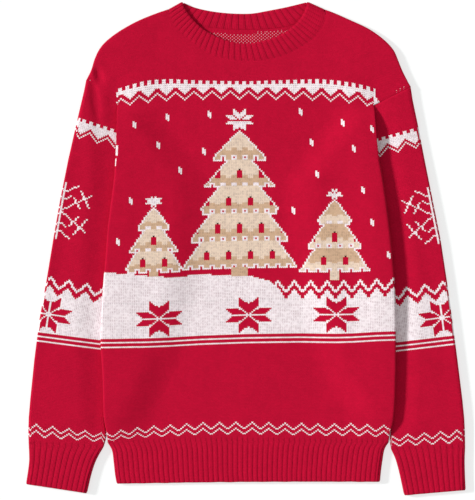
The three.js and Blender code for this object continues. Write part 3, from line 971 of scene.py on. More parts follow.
def knitMaterial(name, grooveDepth):
    material = bpy.data.materials.new(name)
    material.use_nodes = True
    tree = material.node_tree
    tree.nodes.clear()
    stitches = addNode(tree, "ShaderNodeUVMap", {"uv_map": "stitches"})
    parts = addNode(tree, "ShaderNodeSeparateXYZ", None, {0: stitches.outputs[0]})
    place = addNode(tree, "ShaderNodeTexCoord")
    facing = addNode(tree, "ShaderNodeSeparateXYZ", None, {0: place.outputs["Normal"]})
    # each stitch's own number, for small differences between loops
    cell = addNode(tree, "ShaderNodeCombineXYZ")
    chance = addNode(tree, "ShaderNodeTexWhiteNoise", {"noise_dimensions": "3D"}, {0: cell.outputs[0]})
    mottle = addNode(tree, "ShaderNodeTexNoise", None, {"Vector": place.outputs["Object"], **knit["mottle"]})
    fuzz = addNode(tree, "ShaderNodeTexNoise", None, {"Vector": place.outputs["Object"], **knit["fuzz"]})
    ramps = {
        "dye": [linearColour(dye["loops"]) for dye in dyes],
        "show": [(dye["show"],) * 3 + (1,) for dye in dyes],
        "dot": [linearColour(dye["behind"]) for dye in dyes],
    }
    for ramp, colours in ramps.items():
        ramps[ramp] = addNode(tree, "ShaderNodeValToRGB")
        fillRamp(ramps[ramp].color_ramp, colours)
    value = {
        "column": parts.outputs[0],
        "row": parts.outputs[1],
        "chance": chance.outputs["Value"],
        "mottle": mottle.outputs["Fac"],
        "fuzz": fuzz.outputs["Fac"],
        "upright": facing.outputs[2],
        "show": ramps["show"].outputs[0],
    }
    for layer in ("ribPlace", "ribFade", "yarn", "yarnAbove"):
        value[layer] = addNode(tree, "ShaderNodeAttribute", {"attribute_name": layer}).outputs["Fac"]

    # each value is worked out from values above it
    hole, paintedFoldShade = knit["hole"], knit["paintedFoldShade"]
    slope = (1 - paintedFoldShade["dark"]) / (paintedFoldShade["to"] - paintedFoldShade["from"])
    steps = [
        # the legs of a V, round across and along
        ("middle", "PINGPONG", "column", 0.5),
        ("lift", "MULTIPLY", "middle", knit["slant"]),
        ("lifted", "ADD", "row", "lift"),
        ("legHalf", "PINGPONG", "lifted", 0.5),
        ("legTurn", "MULTIPLY", "legHalf", math.pi),
        ("legSine", "SINE", "legTurn"),
        ("legRound", "POWER", "legSine", knit["legRound"]),
        ("sideHalf", "PINGPONG", "middle", 0.25),
        ("sideTurn", "MULTIPLY", "sideHalf", 2 * math.pi),
        ("sideSine", "SINE", "sideTurn"),
        ("sideRound", "POWER", "sideSine", knit["sideRound"]),
        ("relief", "MULTIPLY", "legRound", "sideRound"),
        ("cellColumn", "FLOOR", "column"),
        ("cellRow", "FLOOR", "lifted"),
        # the groove between two ribs
        ("ribSide", "PINGPONG", "ribPlace", 0.5),
        ("ribEdge", "MULTIPLY_ADD", "ribSide", -2, 1),
        ("ribLine", "POWER", "ribEdge", knit["groove"]["narrow"]),
        ("groove", "MULTIPLY", "ribLine", "ribFade"),
        # the yarn of a point: the legs of a V reach up into the row above
        ("ownPale", "GREATER_THAN", "yarn", 0.1),
        ("abovePale", "GREATER_THAN", "yarnAbove", 0.1),
        ("pale", "SUBTRACT", "ownPale", "abovePale"),
        ("limit", "MULTIPLY_ADD", "pale", -knit["closeIn"], 1),
        ("rowShare", "FRACT", "row"),
        ("reached", "ADD", "rowShare", "lift"),
        ("over", "GREATER_THAN", "reached", "limit"),
        ("change", "SUBTRACT", "yarnAbove", "yarn"),
        ("yarnHere", "MULTIPLY_ADD", "change", "over", "yarn"),
        # a hole where four loops meet, open in some stitches; flecked yarn shows in the middle of a loop
        ("flecked", "GREATER_THAN", "yarnHere", 0.9),
        ("fromRow", "MULTIPLY_ADD", "flecked", -0.5, "legHalf"),
        ("fromLine", "MULTIPLY_ADD", "flecked", -0.5, "middle"),
        ("holeRise", "ABSOLUTE", "fromRow"),
        ("holeSide", "ABSOLUTE", "fromLine"),
        ("holeHigh", "LESS_THAN", "holeRise", hole["high"]),
        ("holeWide", "LESS_THAN", "holeSide", hole["wide"]),
        ("hole", "MULTIPLY", "holeHigh", "holeWide"),
        ("open", "LESS_THAN", "chance", "show"),
        ("openHole", "MULTIPLY", "hole", "open"),
        ("dots", "MULTIPLY", "openHole", hole["strength"]),
        # uneven dye, light between loops, and shade down between them and in the grooves
        ("broad", "MULTIPLY_ADD", "mottle", *knit["mottled"]),
        ("loopTone", "MULTIPLY_ADD", "chance", *knit["loops"]),
        ("depth", "MULTIPLY_ADD", "relief", *knit["depths"]),
        ("grooveTone", "MULTIPLY_ADD", "groove", -knit["groove"]["dark"], 1),
        # painted shade over folds: the colour darkens where the surface turns away from upright, which tones
        # down the lit edges of folds
        ("level", "ABSOLUTE", "upright"),
        ("paintedFoldShadeTone", "MULTIPLY_ADD", "level", slope, paintedFoldShade["dark"] - slope * paintedFoldShade["from"]),
        ("paintedFoldShadeLow", "MAXIMUM", "paintedFoldShadeTone", paintedFoldShade["dark"]),
        ("paintedFoldShade", "MINIMUM", "paintedFoldShadeLow", 1),
        ("tone1", "MULTIPLY", "broad", "loopTone"),
        ("tone2", "MULTIPLY", "depth", "grooveTone"),
        ("tone3", "MULTIPLY", "tone1", "tone2"),
        ("tone", "MULTIPLY", "tone3", "paintedFoldShade"),
        ("fuzzy", "MULTIPLY_ADD", "fuzz", knit["fuzzHeight"], "relief"),
        ("height", "MULTIPLY_ADD", "groove", -grooveDepth, "fuzzy"),
    ]
    for made, operation, *terms in steps:
        links = {k: value[term] if isinstance(term, str) else term for k, term in enumerate(terms)}
        value[made] = addNode(tree, "ShaderNodeMath", {"operation": operation}, links).outputs[0]
    tree.links.new(value["cellColumn"], cell.inputs[0])
    tree.links.new(value["cellRow"], cell.inputs[1])
    for ramp in ramps.values():
        tree.links.new(value["yarnHere"], ramp.inputs[0])

    mixed = addNode(tree, "ShaderNodeMix", {"data_type": "RGBA"}, {
        0: value["dots"], 6: ramps["dye"].outputs[0], 7: ramps["dot"].outputs[0]})
    coloured = addNode(tree, "ShaderNodeVectorMath", {"operation": "SCALE"}, {
        0: mixed.outputs[2], "Scale": value["tone"]})
    bump = addNode(tree, "ShaderNodeBump", None, {**knit["bump"], "Height": value["height"]})
    shader = addNode(tree, "ShaderNodeBsdfPrincipled", None, {
        "Base Color": coloured.outputs[0], "Normal": bump.outputs[0], **knit["surface"]})
    addNode(tree, "ShaderNodeOutputMaterial", None, {0: shader.outputs[0]})
    return material


jacquardKnit = knitMaterial("jacquard_knit_soft_yarn", 1.6)
ribKnit = knitMaterial("rib_knit_soft_yarn", 0)
print("materials made")


# Front or back panel: a grid of stitches in the plane of the cloth, trimmed to the outline, its edges taken
# round in rings, lifted onto the form of the body, and given the thickness of the wall.
panelKnit = {
    "columns": 184,
    "rows": 286,
    "sample": 0.5,  # mm between the points of the outline
    "fullBelow": (118, 168),  # heights between which the sides go over from a sewn edge to a fold
    "shoulderFold": 220,
    "inset": 3.0,
    "rings": [1.5, 0.5, 0.0],
    "overlap": 0.12,
    "near": 0.6,  # a point this close to the outline is led in by the outline's own way
    "merge": 0.25,
    "shortest": 0.02,
    "sharpCorner": -0.2,
    "square": {"full": 0.5, "dip": 0.2},
    "dipSpan": 2.6,
    "ripple": {"height": 0.12, "scale": 0.03},
    "ribFade": (-265, -257.5),
    "flat": (0.446, 0.594),  # m, the cut
    "area": 0.2225,
}


# Outline of a panel as sample points, with how round the edge is folded and how deep its seam dips.
def panelOutline(neckRows):
    def points(rows, side):
        return [(row[side], row["y"]) for row in rows]

    def line(start, end):
        return lambda t: Vector((*start, 0)).lerp(Vector((*end, 0)), t)

    sides = {side: smoothPath(points(body["sides"], side)) for side in sleeves}
    shoulders = {}
    for side, armhole in body["armhole"].items():
        shoulders[side] = smoothPath([armhole[0], *points([*body["shoulders"], neckRows[0]], side)])
    neckPath = smoothPath(points(neckRows, "left") + points(neckRows[-2::-1], "right"))
    lowest = body["sides"][-1]

    def hemPath(share):
        x = lerp(lowest["right"], lowest["left"], share)
        return Vector((x, lowest["y"] + body["hem"]["sag"] * math.sin(math.pi * share), 0))

    parts = table("kind path length dip", [
        ("fold", lambda t: sides["left"](1 - t), 463, 0.3),
        ("cut", line(*body["armhole"]["left"][::-1]), 55, 0),
        ("fold", shoulders["left"], 160, 0),
        ("cut", neckPath, 300, 0.15),
        ("fold", lambda t: shoulders["right"](1 - t), 160, 0),
        ("cut", line(*body["armhole"]["right"]), 57, 0.45),
        ("fold", sides["right"], 463, 0.3),
        ("cut", hemPath, 386, 0),
    ])
    outline = []
    corners = []
    for part in parts:
        count = int(part["length"] / panelKnit["sample"])
        corners.append(len(outline))
        for k in range(count):
            place = part["path"](k / count)
            full = 0
            if part["kind"] == "fold":
                onShoulder = place.y > panelKnit["shoulderFold"]
                full = 1 if onShoulder else 1 - smoothstep(place.y, *panelKnit["fullBelow"])
            outline.append({"place": place, "full": full, "dip": part["dip"]})
    return outline, corners


def insidePanel(x, y, neckRows):
    lowest = body["sides"][-1]
    if y > neckRows[0]["y"] or y < lowest["y"] - 1:
        return False
    side = "left" if x < 0 else "right"
    (endX, endY), (foldX, foldY) = body["armhole"][side]
    if y < foldY:
        return abs(x) < abs(sideEdge(side, y))
    if y < endY:
        return abs(x) < abs(lerp(foldX, endX, (y - foldY) / (endY - foldY)))
    shoulder = [neckRows[0], *body["shoulders"][::-1], {"y": endY, side: endX}]
    if abs(x) > abs(tableValue(shoulder, side, "y", y)):
        return False
    return y < neckRows[-1]["y"] or abs(x - 1) > abs(tableValue(neckRows, side, "y", y) - 1)


# Corners that stand out: their place, and the way in for 1 mm in from both edges.
def panelCorners(outline, cornerAt):
    corners = []
    for k in cornerAt:
        before, after = outline[k - 3]["in"], outline[(k + 3) % len(outline)]["in"]
        if before.cross(after).z < panelKnit["sharpCorner"]:
            mitre = (before + after) / (1 + before.dot(after))
            corners.append({"place": outline[k]["place"], "mitre": mitre})
    return corners


def gridMiddle(face, grid):
    middle = sum((v[grid] for v in face.verts), Vector()) / len(face.verts)
    return middle.x, middle.y


def knitPanel(neckRows, up, yarnAt):
    outline, cornerAt = panelOutline(neckRows)
    nearest = kdtree.KDTree(len(outline))
    for k, point in enumerate(outline):
        run = outline[(k + 1) % len(outline)]["place"] - outline[k - 1]["place"]
        point["in"] = Vector((run.y, -run.x, 0)).normalized()
        nearest.insert(point["place"], k)
    nearest.balance()
    corners = panelCorners(outline, cornerAt)

    columns, rows = panelKnit["columns"], panelKnit["rows"]
    bm = bmesh.new()
    bmesh.ops.create_grid(bm, x_segments=columns, y_segments=rows, size=1)
    grid = bm.verts.layers.float_vector.new("grid")
    atCorner = bm.verts.layers.int.new("corner")
    for v in bm.verts:
        i = round((v.co.x + 1) / 2 * columns)
        j = round((v.co.y + 1) / 2 * rows)
        x = (i - columns / 2) * stitch["width"]
        row = firstRow + j * stitch["height"]
        v.co = (x, row + warp(x, row), 0)
        v[grid] = (x, row, 0)

    # trim to a line a little inside the outline
    outside = []
    for face in bm.faces:
        centre = face.calc_center_median()
        if not insidePanel(centre.x, centre.y, neckRows) or nearest.find(centre)[2] < panelKnit["inset"]:
            outside.append(face)
    bmesh.ops.delete(bm, geom=outside, context="FACES")

    # the trimmed edge goes exactly along a line inside the outline, with a stitch at each corner
    def moveTo(v, moved):
        v[grid] = (v[grid][0] + moved.x - v.co.x, v[grid][1] + moved.y - v.co.y, 0)
        v.co = moved

    def moveInward(v, distance):
        if v[atCorner]:
            corner = corners[v[atCorner] - 1]
            moveTo(v, corner["place"] + corner["mitre"] * distance)
            return
        place, k, far = nearest.find(v.co)
        inward = v.co - place
        if distance == panelKnit["inset"] and inward.length < panelKnit["near"]:
            inward = outline[k]["in"].copy()
        past = panelKnit["overlap"] * (1 - outline[k]["full"]) if distance == 0 else 0
        moveTo(v, place + inward.normalized() * (distance - past))

    border = [v for v in bm.verts if v.is_boundary]
    for number, corner in enumerate(corners, 1):
        goal = corner["place"] + corner["mitre"] * panelKnit["inset"]
        min(border, key=lambda v: (v.co - goal).length)[atCorner] = number
    for v in border:
        moveInward(v, panelKnit["inset"])
    loose = [v for v in border if not v[atCorner]]
    bmesh.ops.remove_doubles(bm, verts=loose, dist=panelKnit["merge"])
    bmesh.ops.dissolve_degenerate(bm, dist=panelKnit["shortest"], edges=bm.edges)

    # rings out to the edge
    for distance in panelKnit["rings"]:
        rim = [e for e in bm.edges if e.is_boundary]
        made = bmesh.ops.extrude_edge_only(bm, edges=rim)
        for v in [g for g in made["geom"] if isinstance(g, bmesh.types.BMVert)]:
            moveInward(v, distance)

    # sewn edges stay square, so that a close seam hardly shows
    square = panelKnit["square"]
    for e in bm.edges:
        if e.is_boundary:
            place, k, far = nearest.find((e.verts[0].co + e.verts[1].co) / 2)
            e.smooth = outline[k]["full"] > square["full"] or outline[k]["dip"] > square["dip"]

    # the plan becomes the form
    power = cloth["foldPower"]
    ripple = panelKnit["ripple"]
    for v in bm.verts:
        x, y = v.co.x, v.co.y
        height = bodyHeight(x, y)
        radius = height / 2 - cloth["seam"] / 2
        place, k, distance = nearest.find(v.co)
        full = outline[k]["full"]
        cosine = full * max(0, 1 - distance / radius)
        drop = radius * (1 - max(0, 1 - cosine ** power) ** (1 / power))
        drop += (1 - full) * rounding(distance, panelKnit["dipSpan"], outline[k]["dip"])
        drop += max(0, -ripple["height"] * noise.noise(Vector((x, y, 100 * up)) * ripple["scale"]))
        v.co.z = bodyBase(x, y) + height / 2 + up * (cloth["seam"] / 2 + radius - drop)

    # the rib's lines begin a little above the hem seam
    ribPlace, ribFade = ribLayers(bm)
    lowest = body["sides"][-1]
    ribWidth = (lowest["right"] - lowest["left"]) / ribBands["hem_rib"]["ribs"]
    for v in bm.verts:
        v[ribPlace] = (v.co.x - lowest["left"]) / ribWidth
        v[ribFade] = 1 - smoothstep(v[grid][1], *panelKnit["ribFade"])

    uv = bm.loops.layers.uv.new("stitches")
    yarn, yarnAbove = yarnLayers(bm)
    for face in bm.faces:
        if (face.normal.z < 0) == (up > 0):
            face.normal_flip()
        x, y = gridMiddle(face, grid)
        x = (math.floor(x / stitch["width"]) + 0.5) * stitch["width"]
        row = firstRow + (math.floor((y - firstRow) / stitch["height"]) + 0.5) * stitch["height"]
        face[yarn] = yarnValue(yarnAt(x, row))
        face[yarnAbove] = yarnValue(yarnAt(x, row + stitch["height"]))
        face.smooth = True
        for loop in face.loops:
            loop[uv].uv = (
                loop.vert[grid][0] / stitch["width"] + columns / 2,
                (loop.vert[grid][1] - firstRow) / stitch["height"],
            )
    for v in bm.verts:
        v.co *= mm
    bm.normal_update()
    return bm


# The wall's other side. Inside the back it is charted on its own, because it shows in the neck.
def closePanel(name, bm, node, insideAt=None):
    bmesh.ops.solidify(bm, geom=list(bm.faces), thickness=cloth["wall"] * mm)
    grid = bm.verts.layers.float_vector["grid"]
    yarn = bm.faces.layers.float["yarn"]
    yarnAbove = bm.faces.layers.float["yarnAbove"]
    bm.normal_update()
    for face in bm.faces:
        if insideAt and face.normal.z > 0.6:
            x, y = gridMiddle(face, grid)
            face[yarn] = yarnValue(insideAt(x, y))
            face[yarnAbove] = yarnValue(insideAt(x, y + stitch["height"]))
    bm.verts.layers.float_vector.remove(grid)
    bm.verts.layers.int.remove(bm.verts.layers.int["corner"])
    finishPiece(name, bm, jacquardKnit, node)


frontMesh = knitPanel(neck["frontSeam"], 1, frontYarn)
closePanel("front_knit", frontMesh, "front_panel")
backMesh = knitPanel(neck["backSeam"], -1, backYarn)
closePanel("back_knit", backMesh, "back_panel", backInsideYarn)


# Flattened tubes: columns go round the upper layer, a fold, the lower layer and the other fold.
tubeKnit = {
    "beside": 0.04,  # share of the width from a fold to the point that gives the way out
    "foldAngles": (-60, -30, 0, 30, 60),
    "innerRows": 20,
}


def tubeColumns(topShares, bottomShares, angles):
    columns = [("top", share, 0) for share in topShares]
    columns += [("fold", 1, -angle) for angle in angles]
    columns += [("bottom", share, 0) for share in reversed(bottomShares)]
    columns += [("fold", 0, angle) for angle in angles]
    return columns


# Outer point and outward way of a tube's column at a share of its length. thickness is that of both layers.
def tubePoint(tube, column, v):
    kind, share, angle = column
    plan = tube["bottom"] if kind == "bottom" else tube["top"]
    if kind == "fold":
        tip = tube["top"](share, v)
        beside = abs(share - tubeKnit["beside"])
        out = tip - (tube["top"](beside, v) + tube["bottom"](beside, v)) / 2
        out.z = 0
        out.normalize()
        radius = tube["height"](tip.x, tip.y) / 2
        turn = math.radians(angle)
        normal = out * math.cos(turn) + Vector((0, 0, math.sin(turn)))
        power = cloth["foldPower"]
        fuller = (math.cos(turn) ** power + abs(math.sin(turn)) ** power) ** (-1 / power)
        return tip - out * radius + Vector((0, 0, radius)) + normal * radius * fuller, normal
    width = (tube["top"](1, v) - tube["top"](0, v)).length
    middle = tube["top"](0.5, v)
    inset = tube["height"](middle.x, middle.y) / 2 / width
    point = plan(clamp(share, inset, 1 - inset), v)
    up = 1 if kind == "top" else -1
    point.z = tube["height"](point.x, point.y) if up > 0 else 0
    return point, Vector((0, 0, up))


# A closed ring of cloth: rows run up the outside, over the end, and back inside in a few wider steps.
def knitTube(tube, columns, outerRows, innerRows):
    rows = [(v, "outer") for v in outerRows] + [(v, "inner") for v in innerRows] + [(outerRows[0], "outer")]
    bm = bmesh.new()
    bmesh.ops.create_grid(bm, x_segments=len(columns), y_segments=len(rows) - 1, size=1)
    uv = bm.loops.layers.uv.new("stitches")
    yarn, yarnAbove = yarnLayers(bm)
    ribPlace, ribFade = ribLayers(bm)
    count = len(columns)
    last = len(rows) - 1
    place = {v: (round((v.co.x + 1) / 2 * count), round((v.co.y + 1) / 2 * last)) for v in bm.verts}
    for face in bm.faces:
        i = min(place[v][0] for v in face.verts)
        j = min(place[v][1] for v in face.verts)
        inner = "inner" in (rows[j][1], rows[j + 1][1]) or j == last - 1
        face.smooth = True
        for loop in face.loops:
            loop[uv].uv = tube["uv"](columns, *place[loop.vert], rows)
        names = ("red", "red") if inner else tube["yarn"](i % count, j)
        face[yarn], face[yarnAbove] = [yarnValue(one) for one in names]
    for v in bm.verts:
        i, j = place[v]
        share, side = rows[j]
        column = columns[i % count]
        point, normal = tubePoint(tube, column, share)
        rib, lining = tube["relief"](column, share)
        away = rib if side == "outer" else cloth["wall"] + lining
        away = (away - tube["round"](share)) * (1 if side == "outer" else -1)
        v.co = (point + normal * away) * mm
        v[ribPlace], v[ribFade] = tube["ribs"](column, share)
    square = [j for j in (0, len(outerRows) - 1, last) if rows[j][0] in tube["square"]]
    for e in bm.edges:
        levels = [place[v][1] for v in e.verts]
        if levels[0] == levels[1] and levels[0] in square:
            e.smooth = False
    bmesh.ops.remove_doubles(bm, verts=bm.verts, dist=1e-6)
    bm.normal_update()
    return bm


def evenShares(count):
    return [k / count for k in range(count + 1)]


# Sleeves: stitches are counted in from the outer fold, so the seam under the arm takes what is left over.
sleeveKnit = {
    "fine": 40,  # columns of one stitch
    "coarse": 7,
    "seamSide": 60,  # number of the column at the inner fold
    "widest": 260,
    "squeezed": 2,  # mm at the inner fold that take the columns left over
    "clear": 0.2,
    "underBody": [(138, 160)],  # y and x of the inner fold, from the underarm to the table's first
    "ribFade": (1, 7),
    "seamSpan": 2.4,
    "flat": (0.38, 0.5),  # m, the cut
    "area": 0.146,
}


def sleevePlan(side):
    spec = sleeves[side]
    inward = -spec["side"]
    edge = [(y, abs(sideEdge(side, y)) + sleeveKnit["clear"]) for y in (196.6, 182)] + sleeveKnit["underBody"]
    edge = table("y x", edge + [(row["y"], abs(row["inner"])) for row in innerFolds(side)])
    courses = spec["courses"]
    top, bottom = courses[0]["y"], courses[-1]["y"]
    fine, coarse = sleeveKnit["fine"], sleeveKnit["coarse"]
    rowCache = {}

    # where a row starts at the outer fold, its way in, and how far in it goes
    def rowLine(v):
        if v not in rowCache:
            y = lerp(bottom, top, v)
            start = Vector((tableValue(spec["folds"], "outer", "y", y), y, 0))
            way = Vector((inward, -tableValue(courses, "drop", "y", y), 0)).normalized()
            low, high = 0, sleeveKnit["widest"]
            for _ in range(24):
                trial = (low + high) / 2
                point = start + way * trial
                if abs(point.x) > tableValue(edge, "x", "y", point.y):
                    low = trial
                else:
                    high = trial
            rowCache[v] = (start, way, low)
        return rowCache[v]

    # distance in from the outer fold, for a share across
    def reach(share, v):
        width = rowLine(v)[2]
        step = share * (fine + coarse)
        coarseStep = max(0.5, (width - fine * stitch["width"]) / coarse)
        total = fine * stitch["width"] + coarse * coarseStep
        distance = min(step, fine) * stitch["width"] + max(0, step - fine) * coarseStep
        squeezed = width - sleeveKnit["squeezed"]
        if total <= width + 0.001 or distance <= squeezed:
            return distance
        return squeezed + sleeveKnit["squeezed"] * (distance - squeezed) / (total - squeezed)

    def plan(share, v):
        start, way, width = rowLine(v)
        return start + way * reach(share if inward > 0 else 1 - share, v)

    return plan, reach, rowLine, top, bottom


def makeSleeve(side):
    spec = sleeves[side]
    plan, reach, rowLine, top, bottom = sleevePlan(side)
    shares = evenShares(sleeveKnit["fine"] + sleeveKnit["coarse"])
    angles = tubeKnit["foldAngles"]
    columns = tubeColumns(shares, shares, angles)
    length = top - bottom
    rowCount = round(length / stitch["height"])
    for name, height in spec["marks"].items():
        spec["marks"][name] = snapRow(height, bottom)

    def shareIn(share):
        return share if spec["side"] < 0 else 1 - share

    # stitches from the outer fold: above 0 on top, below 0 beneath
    def stitchAt(i):
        kind, share, angle = columns[i % len(columns)]
        if kind == "fold":
            return -spec["side"] * angle / 30 if shareIn(share) < 0.5 else sleeveKnit["seamSide"]
        number = shareIn(share) * (len(shares) - 1) + (len(angles) + 1) / 2
        return number if kind == "top" else -number

    def yarnOf(i, j):
        one, two = stitchAt(i), stitchAt(i + 1)
        if abs(one - two) > 1.5:
            return "red", "red"
        across = (math.floor((one + two) / 2) + 0.5) * stitch["width"]
        along = bottom + (j + 0.5) * stitch["height"]
        return sleeveYarn(side, across, along), sleeveYarn(side, across, along + stitch["height"])

    def ribsAt(column, v):
        kind, share, angle = column
        fade = 1 - smoothstep(v * length, *sleeveKnit["ribFade"]) if kind != "fold" else 0
        return reach(shareIn(share), v) / rowLine(v)[2] * ribBands[f"cuff_{side}"]["ribs"], fade

    bm = knitTube({
        "top": plan,
        "bottom": plan,
        "height": lambda x, y: sleeveHeight(side, x, y),
        "uv": lambda columns, i, j, rows: (stitchAt(i) + 200, rows[j][0] * rowCount),
        "yarn": yarnOf,
        "ribs": ribsAt,
        "relief": lambda column, v: (0, 0),
        "round": lambda v: rounding((1 - v) * length, sleeveKnit["seamSpan"], spec["seamDip"]),
        "square": (0,) if spec["seamDip"] else (0, 1),
    }, columns, evenShares(rowCount), evenShares(tubeKnit["innerRows"])[::-1])
    finishPiece(
        f"sleeve_{side}_knit", bm, jacquardKnit, f"sleeve_{side}")


for side in sleeves:
    makeSleeve(side)


# Ribs: a narrow groove, then a broad rounded rib of two stitches. They flatten towards a fold.
ribShape = {
    "height": 0.6,
    "under": 0.5,
    "places": [0, 0.1, 0.24, 0.5, 0.76, 0.9],
    "narrow": 5,
    "foldAngles": (-75, -50, -25, 0, 25, 50, 75),
    "foldFade": (0, 0.02),
    "foldStitch": {"from": -60, "degrees": 15},  # stitches round a fold
    "wobble": {"height": 0.4, "across": 0.45, "along": 2.2},
    "free": {"span": 0.05, "depth": 1},
    "endRows": [0, 0.015, 0.04, 0.08],
    "seamFade": (0, 0.2),
    "innerRows": [1, 0.9, 0.5, 0.1, 0.04, 0],
    "length": 60,
    "firstStitch": 400,
}


def ribShares(count):
    return [(k + place) / count for k in range(count) for place in ribShape["places"]] + [1]


def ribRelief(share, count):
    return 1 - (abs((share * count) % 1 - 0.5) * 2) ** ribShape["narrow"]


# Two stitches to a rib. The lower layer counts down from turn.
def ribUv(counts, rowCount, turn):
    fold = ribShape["foldStitch"]

    def uvAt(columns, i, j, rows):
        kind, share, angle = columns[i % len(columns)]
        across = share * counts[kind == "bottom"] * 2
        if kind == "bottom":
            across = turn - across
        if kind == "fold":
            across += (angle - fold["from"]) / fold["degrees"]
        return across + ribShape["firstStitch"], rows[j][0] * rowCount

    return uvAt


def makeRibBand(name, spec):
    left, right = [smoothPath([row[side] for row in spec["sides"]][::-1]) for side in ("left", "right")]
    count = spec["ribs"]
    wobble = ribShape["wobble"]

    def plan(u, v):
        point = left(v).lerp(right(v), u)
        bow = lerp(spec["sag"] / 2, spec["sag"], v) * math.sin(math.pi * u)
        uneven = noise.noise(Vector((u * count * wobble["across"], v * wobble["along"], count)))
        return point + Vector((0, bow + wobble["height"] * uneven * (1 - v), 0))

    def relief(column, v):
        kind, share, angle = column
        fade = smoothstep(min(share, 1 - share), *ribShape["foldFade"])
        fade *= smoothstep(1 - v, *ribShape["seamFade"])
        if kind == "fold":
            return 0, 0
        if kind == "top":
            return ribShape["height"] * ribRelief(share, count) * fade, 0
        return -ribShape["under"] * (1 - ribRelief(share, count)) * fade, 0

    rows = list(ribShape["endRows"])
    rows += [lerp(rows[-1], 1, k / spec["rows"]) for k in range(1, spec["rows"] + 1)]
    columns = tubeColumns(ribShares(count), ribShares(count), ribShape["foldAngles"])
    bm = knitTube({
        "top": plan,
        "bottom": plan,
        "height": lambda x, y: spec["height"],
        "uv": ribUv((count, count), ribShape["length"] / stitch["height"], -8),
        "yarn": lambda i, j: ("red", "red"),
        "ribs": lambda column, v: (column[1] * count, 0 if column[0] == "fold" else 1),
        "relief": relief,
        "round": lambda v: rounding(v, ribShape["free"]["span"], ribShape["free"]["depth"]),
        "square": (1,),
    }, columns, rows, ribShape["innerRows"])
    width = (left(0) - right(0)).length * mm
    deep = (left(0) - left(1)).length * mm
    finishPiece(name + "_knit", bm, ribKnit, name)


for name, spec in ribBands.items():
    makeRibBand(name, spec)


# Neckband: a ring with its front half on top. Of the back half the inner side shows, so both are ribbed.
neckKnit = {
    "spread": {"top": 0.028, "bottom": 0},  # ribs lie closer at the middle of the front
    "atShoulder": {"share": 0.05, "from": 0.01},
    "rows": [0, 0.03, 0.08, *[lerp(0.08, 0.9, k / 9) for k in range(1, 10)], 0.95, 0.98, 1],
    "fadeIn": (0, 0.25),
    "foldFade": (0, 0.03),
    "length": 24,
    "inside": 0.3,
    "shade": {"share": (0.78, 0.92), "less": 0.6},  # grooves that face the light fade
    "free": {"span": 0.1, "depth": 1},
    "sewn": {"span": 0.1, "depth": 0.15},
    "flat": (0.52, 0.024),  # m, the cut
}


def makeNeckband():
    counts = (neck["frontRibs"], neck["backRibs"])

    def between(seamRows, edgeRows, spread):
        def ring(rows):
            right = [(row["right"], row["y"]) for row in rows[-2::-1]]
            return smoothPath([(row["left"], row["y"]) for row in rows] + right)

        low, high = ring(seamRows), ring(edgeRows)

        def plan(u, v):
            atShoulder = 1 - smoothstep(min(u, 1 - u), 0, neckKnit["atShoulder"]["share"])
            u -= spread * math.sin(2 * math.pi * u)
            return low(u).lerp(high(u), lerp(neckKnit["atShoulder"]["from"] * atShoulder, 1, v))

        return plan

    def relief(column, v):
        kind, share, angle = column
        if kind == "fold":
            return 0, 0
        fade = smoothstep(min(share, 1 - share), *ribShape["foldFade"]) * smoothstep(v, *neckKnit["fadeIn"])
        shape = ribRelief(share, counts[kind == "bottom"])
        if kind == "top":
            return neck["ribHeight"] * shape * fade, 0
        return -ribShape["under"] * (1 - shape) * fade, neck["ribHeight"] * shape * fade - neckKnit["inside"]

    def roundEnds(v):
        free, sewn = neckKnit["free"], neckKnit["sewn"]
        return rounding(1 - v, free["span"], free["depth"]) + rounding(v, sewn["span"], sewn["depth"])

    def ribsAt(column, v):
        kind, share, angle = column
        fade = 0 if kind == "fold" else smoothstep(min(share, 1 - share), *neckKnit["foldFade"])
        if kind == "top":
            fade *= 1 - neckKnit["shade"]["less"] * smoothstep(share, *neckKnit["shade"]["share"])
        return share * counts[kind != "top"], fade

    rows = neckKnit["rows"]
    columns = tubeColumns(ribShares(counts[0]), ribShares(counts[1]), ribShape["foldAngles"])
    bm = knitTube({
        "top": between(neck["frontSeam"], neck["frontEdge"], neckKnit["spread"]["top"]),
        "bottom": between(neck["backSeam"], neck["backEdge"], neckKnit["spread"]["bottom"]),
        "height": lambda x, y: neck["height"],
        "uv": ribUv(counts, neckKnit["length"] / stitch["height"], 200),
        "yarn": lambda i, j: ("red", "red"),
        "ribs": ribsAt,
        "relief": relief,
        "round": roundEnds,
        "square": (0,),
    }, columns, rows, rows[::-1])
    finishPiece("neckband_knit", bm, ribKnit, "neckband")


makeNeckband()
print("knitted pieces made")


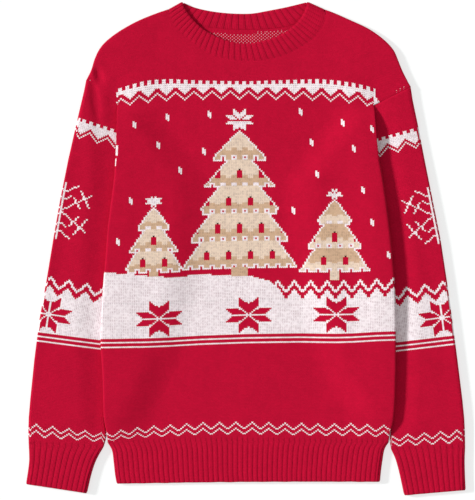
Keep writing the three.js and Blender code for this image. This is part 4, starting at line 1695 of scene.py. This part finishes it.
# Studio: white paper floor, low light from the left and an even glow, camera straight above.
studio = {
    "floor": {"half": 4, "below": 0.0004},
    "paper": {  # matt paper that glows a little, so that it stays white under low light
        "Base Color": linearColour("#9EA2A1"), "Roughness": 0.9, "Specular IOR Level": 0.1,
        "Emission Color": linearColour("#FFFFFF"), "Emission Strength": 0.68,
    },
    "camera": {"height": 3, "level": 0.008, "viewHeight": 0.685},  # level with the top of the cloth
    "centre": (-0.0116, -0.0021),
    "air": 0.47,
    "sun": {"strength": 3.78, "from": (-1.3, 0.35, 0.66), "spread": math.radians(8)},
}


def addObject(name, data):
    made = bpy.data.objects.new(name, data)
    bpy.context.scene.collection.objects.link(made)
    return made


floorGrid = bmesh.new()
bmesh.ops.create_grid(floorGrid, x_segments=1, y_segments=1, size=studio["floor"]["half"])
floorMesh = bpy.data.meshes.new("floor")
floorGrid.to_mesh(floorMesh)
floorGrid.free()
paper = bpy.data.materials.new("white_paper_floor")
paper.use_nodes = True
for key, value in studio["paper"].items():
    paper.node_tree.nodes["Principled BSDF"].inputs[key].default_value = value
floorMesh.materials.append(paper)
floor = addObject("floor", floorMesh)
floor.location.z = -studio["floor"]["below"]

world = bpy.data.worlds.new("studio_air")
world.use_nodes = True
world.node_tree.nodes["Background"].inputs["Color"].default_value = (1, 1, 1, 1)
world.node_tree.nodes["Background"].inputs["Strength"].default_value = studio["air"]
bpy.context.scene.world = world

# as hard as in the photograph's shadows
sun = bpy.data.lights.new("key", "SUN")
sun.energy = studio["sun"]["strength"]
sun.angle = studio["sun"]["spread"]
key = addObject("key", sun)
key.rotation_euler = (-Vector(studio["sun"]["from"])).to_track_quat("-Z", "Y").to_euler()

lens = bpy.data.cameras.new("camera")
lens.sensor_fit = "VERTICAL"
view = studio["camera"]
lens.angle = 2 * math.atan(view["viewHeight"] / 2 / view["height"])
camera = addObject("camera", lens)
camera.location = (*studio["centre"], view["height"] + view["level"])
bpy.context.scene.camera = camera
bpy.context.scene.view_settings.view_transform = "Standard"
print("studio made")
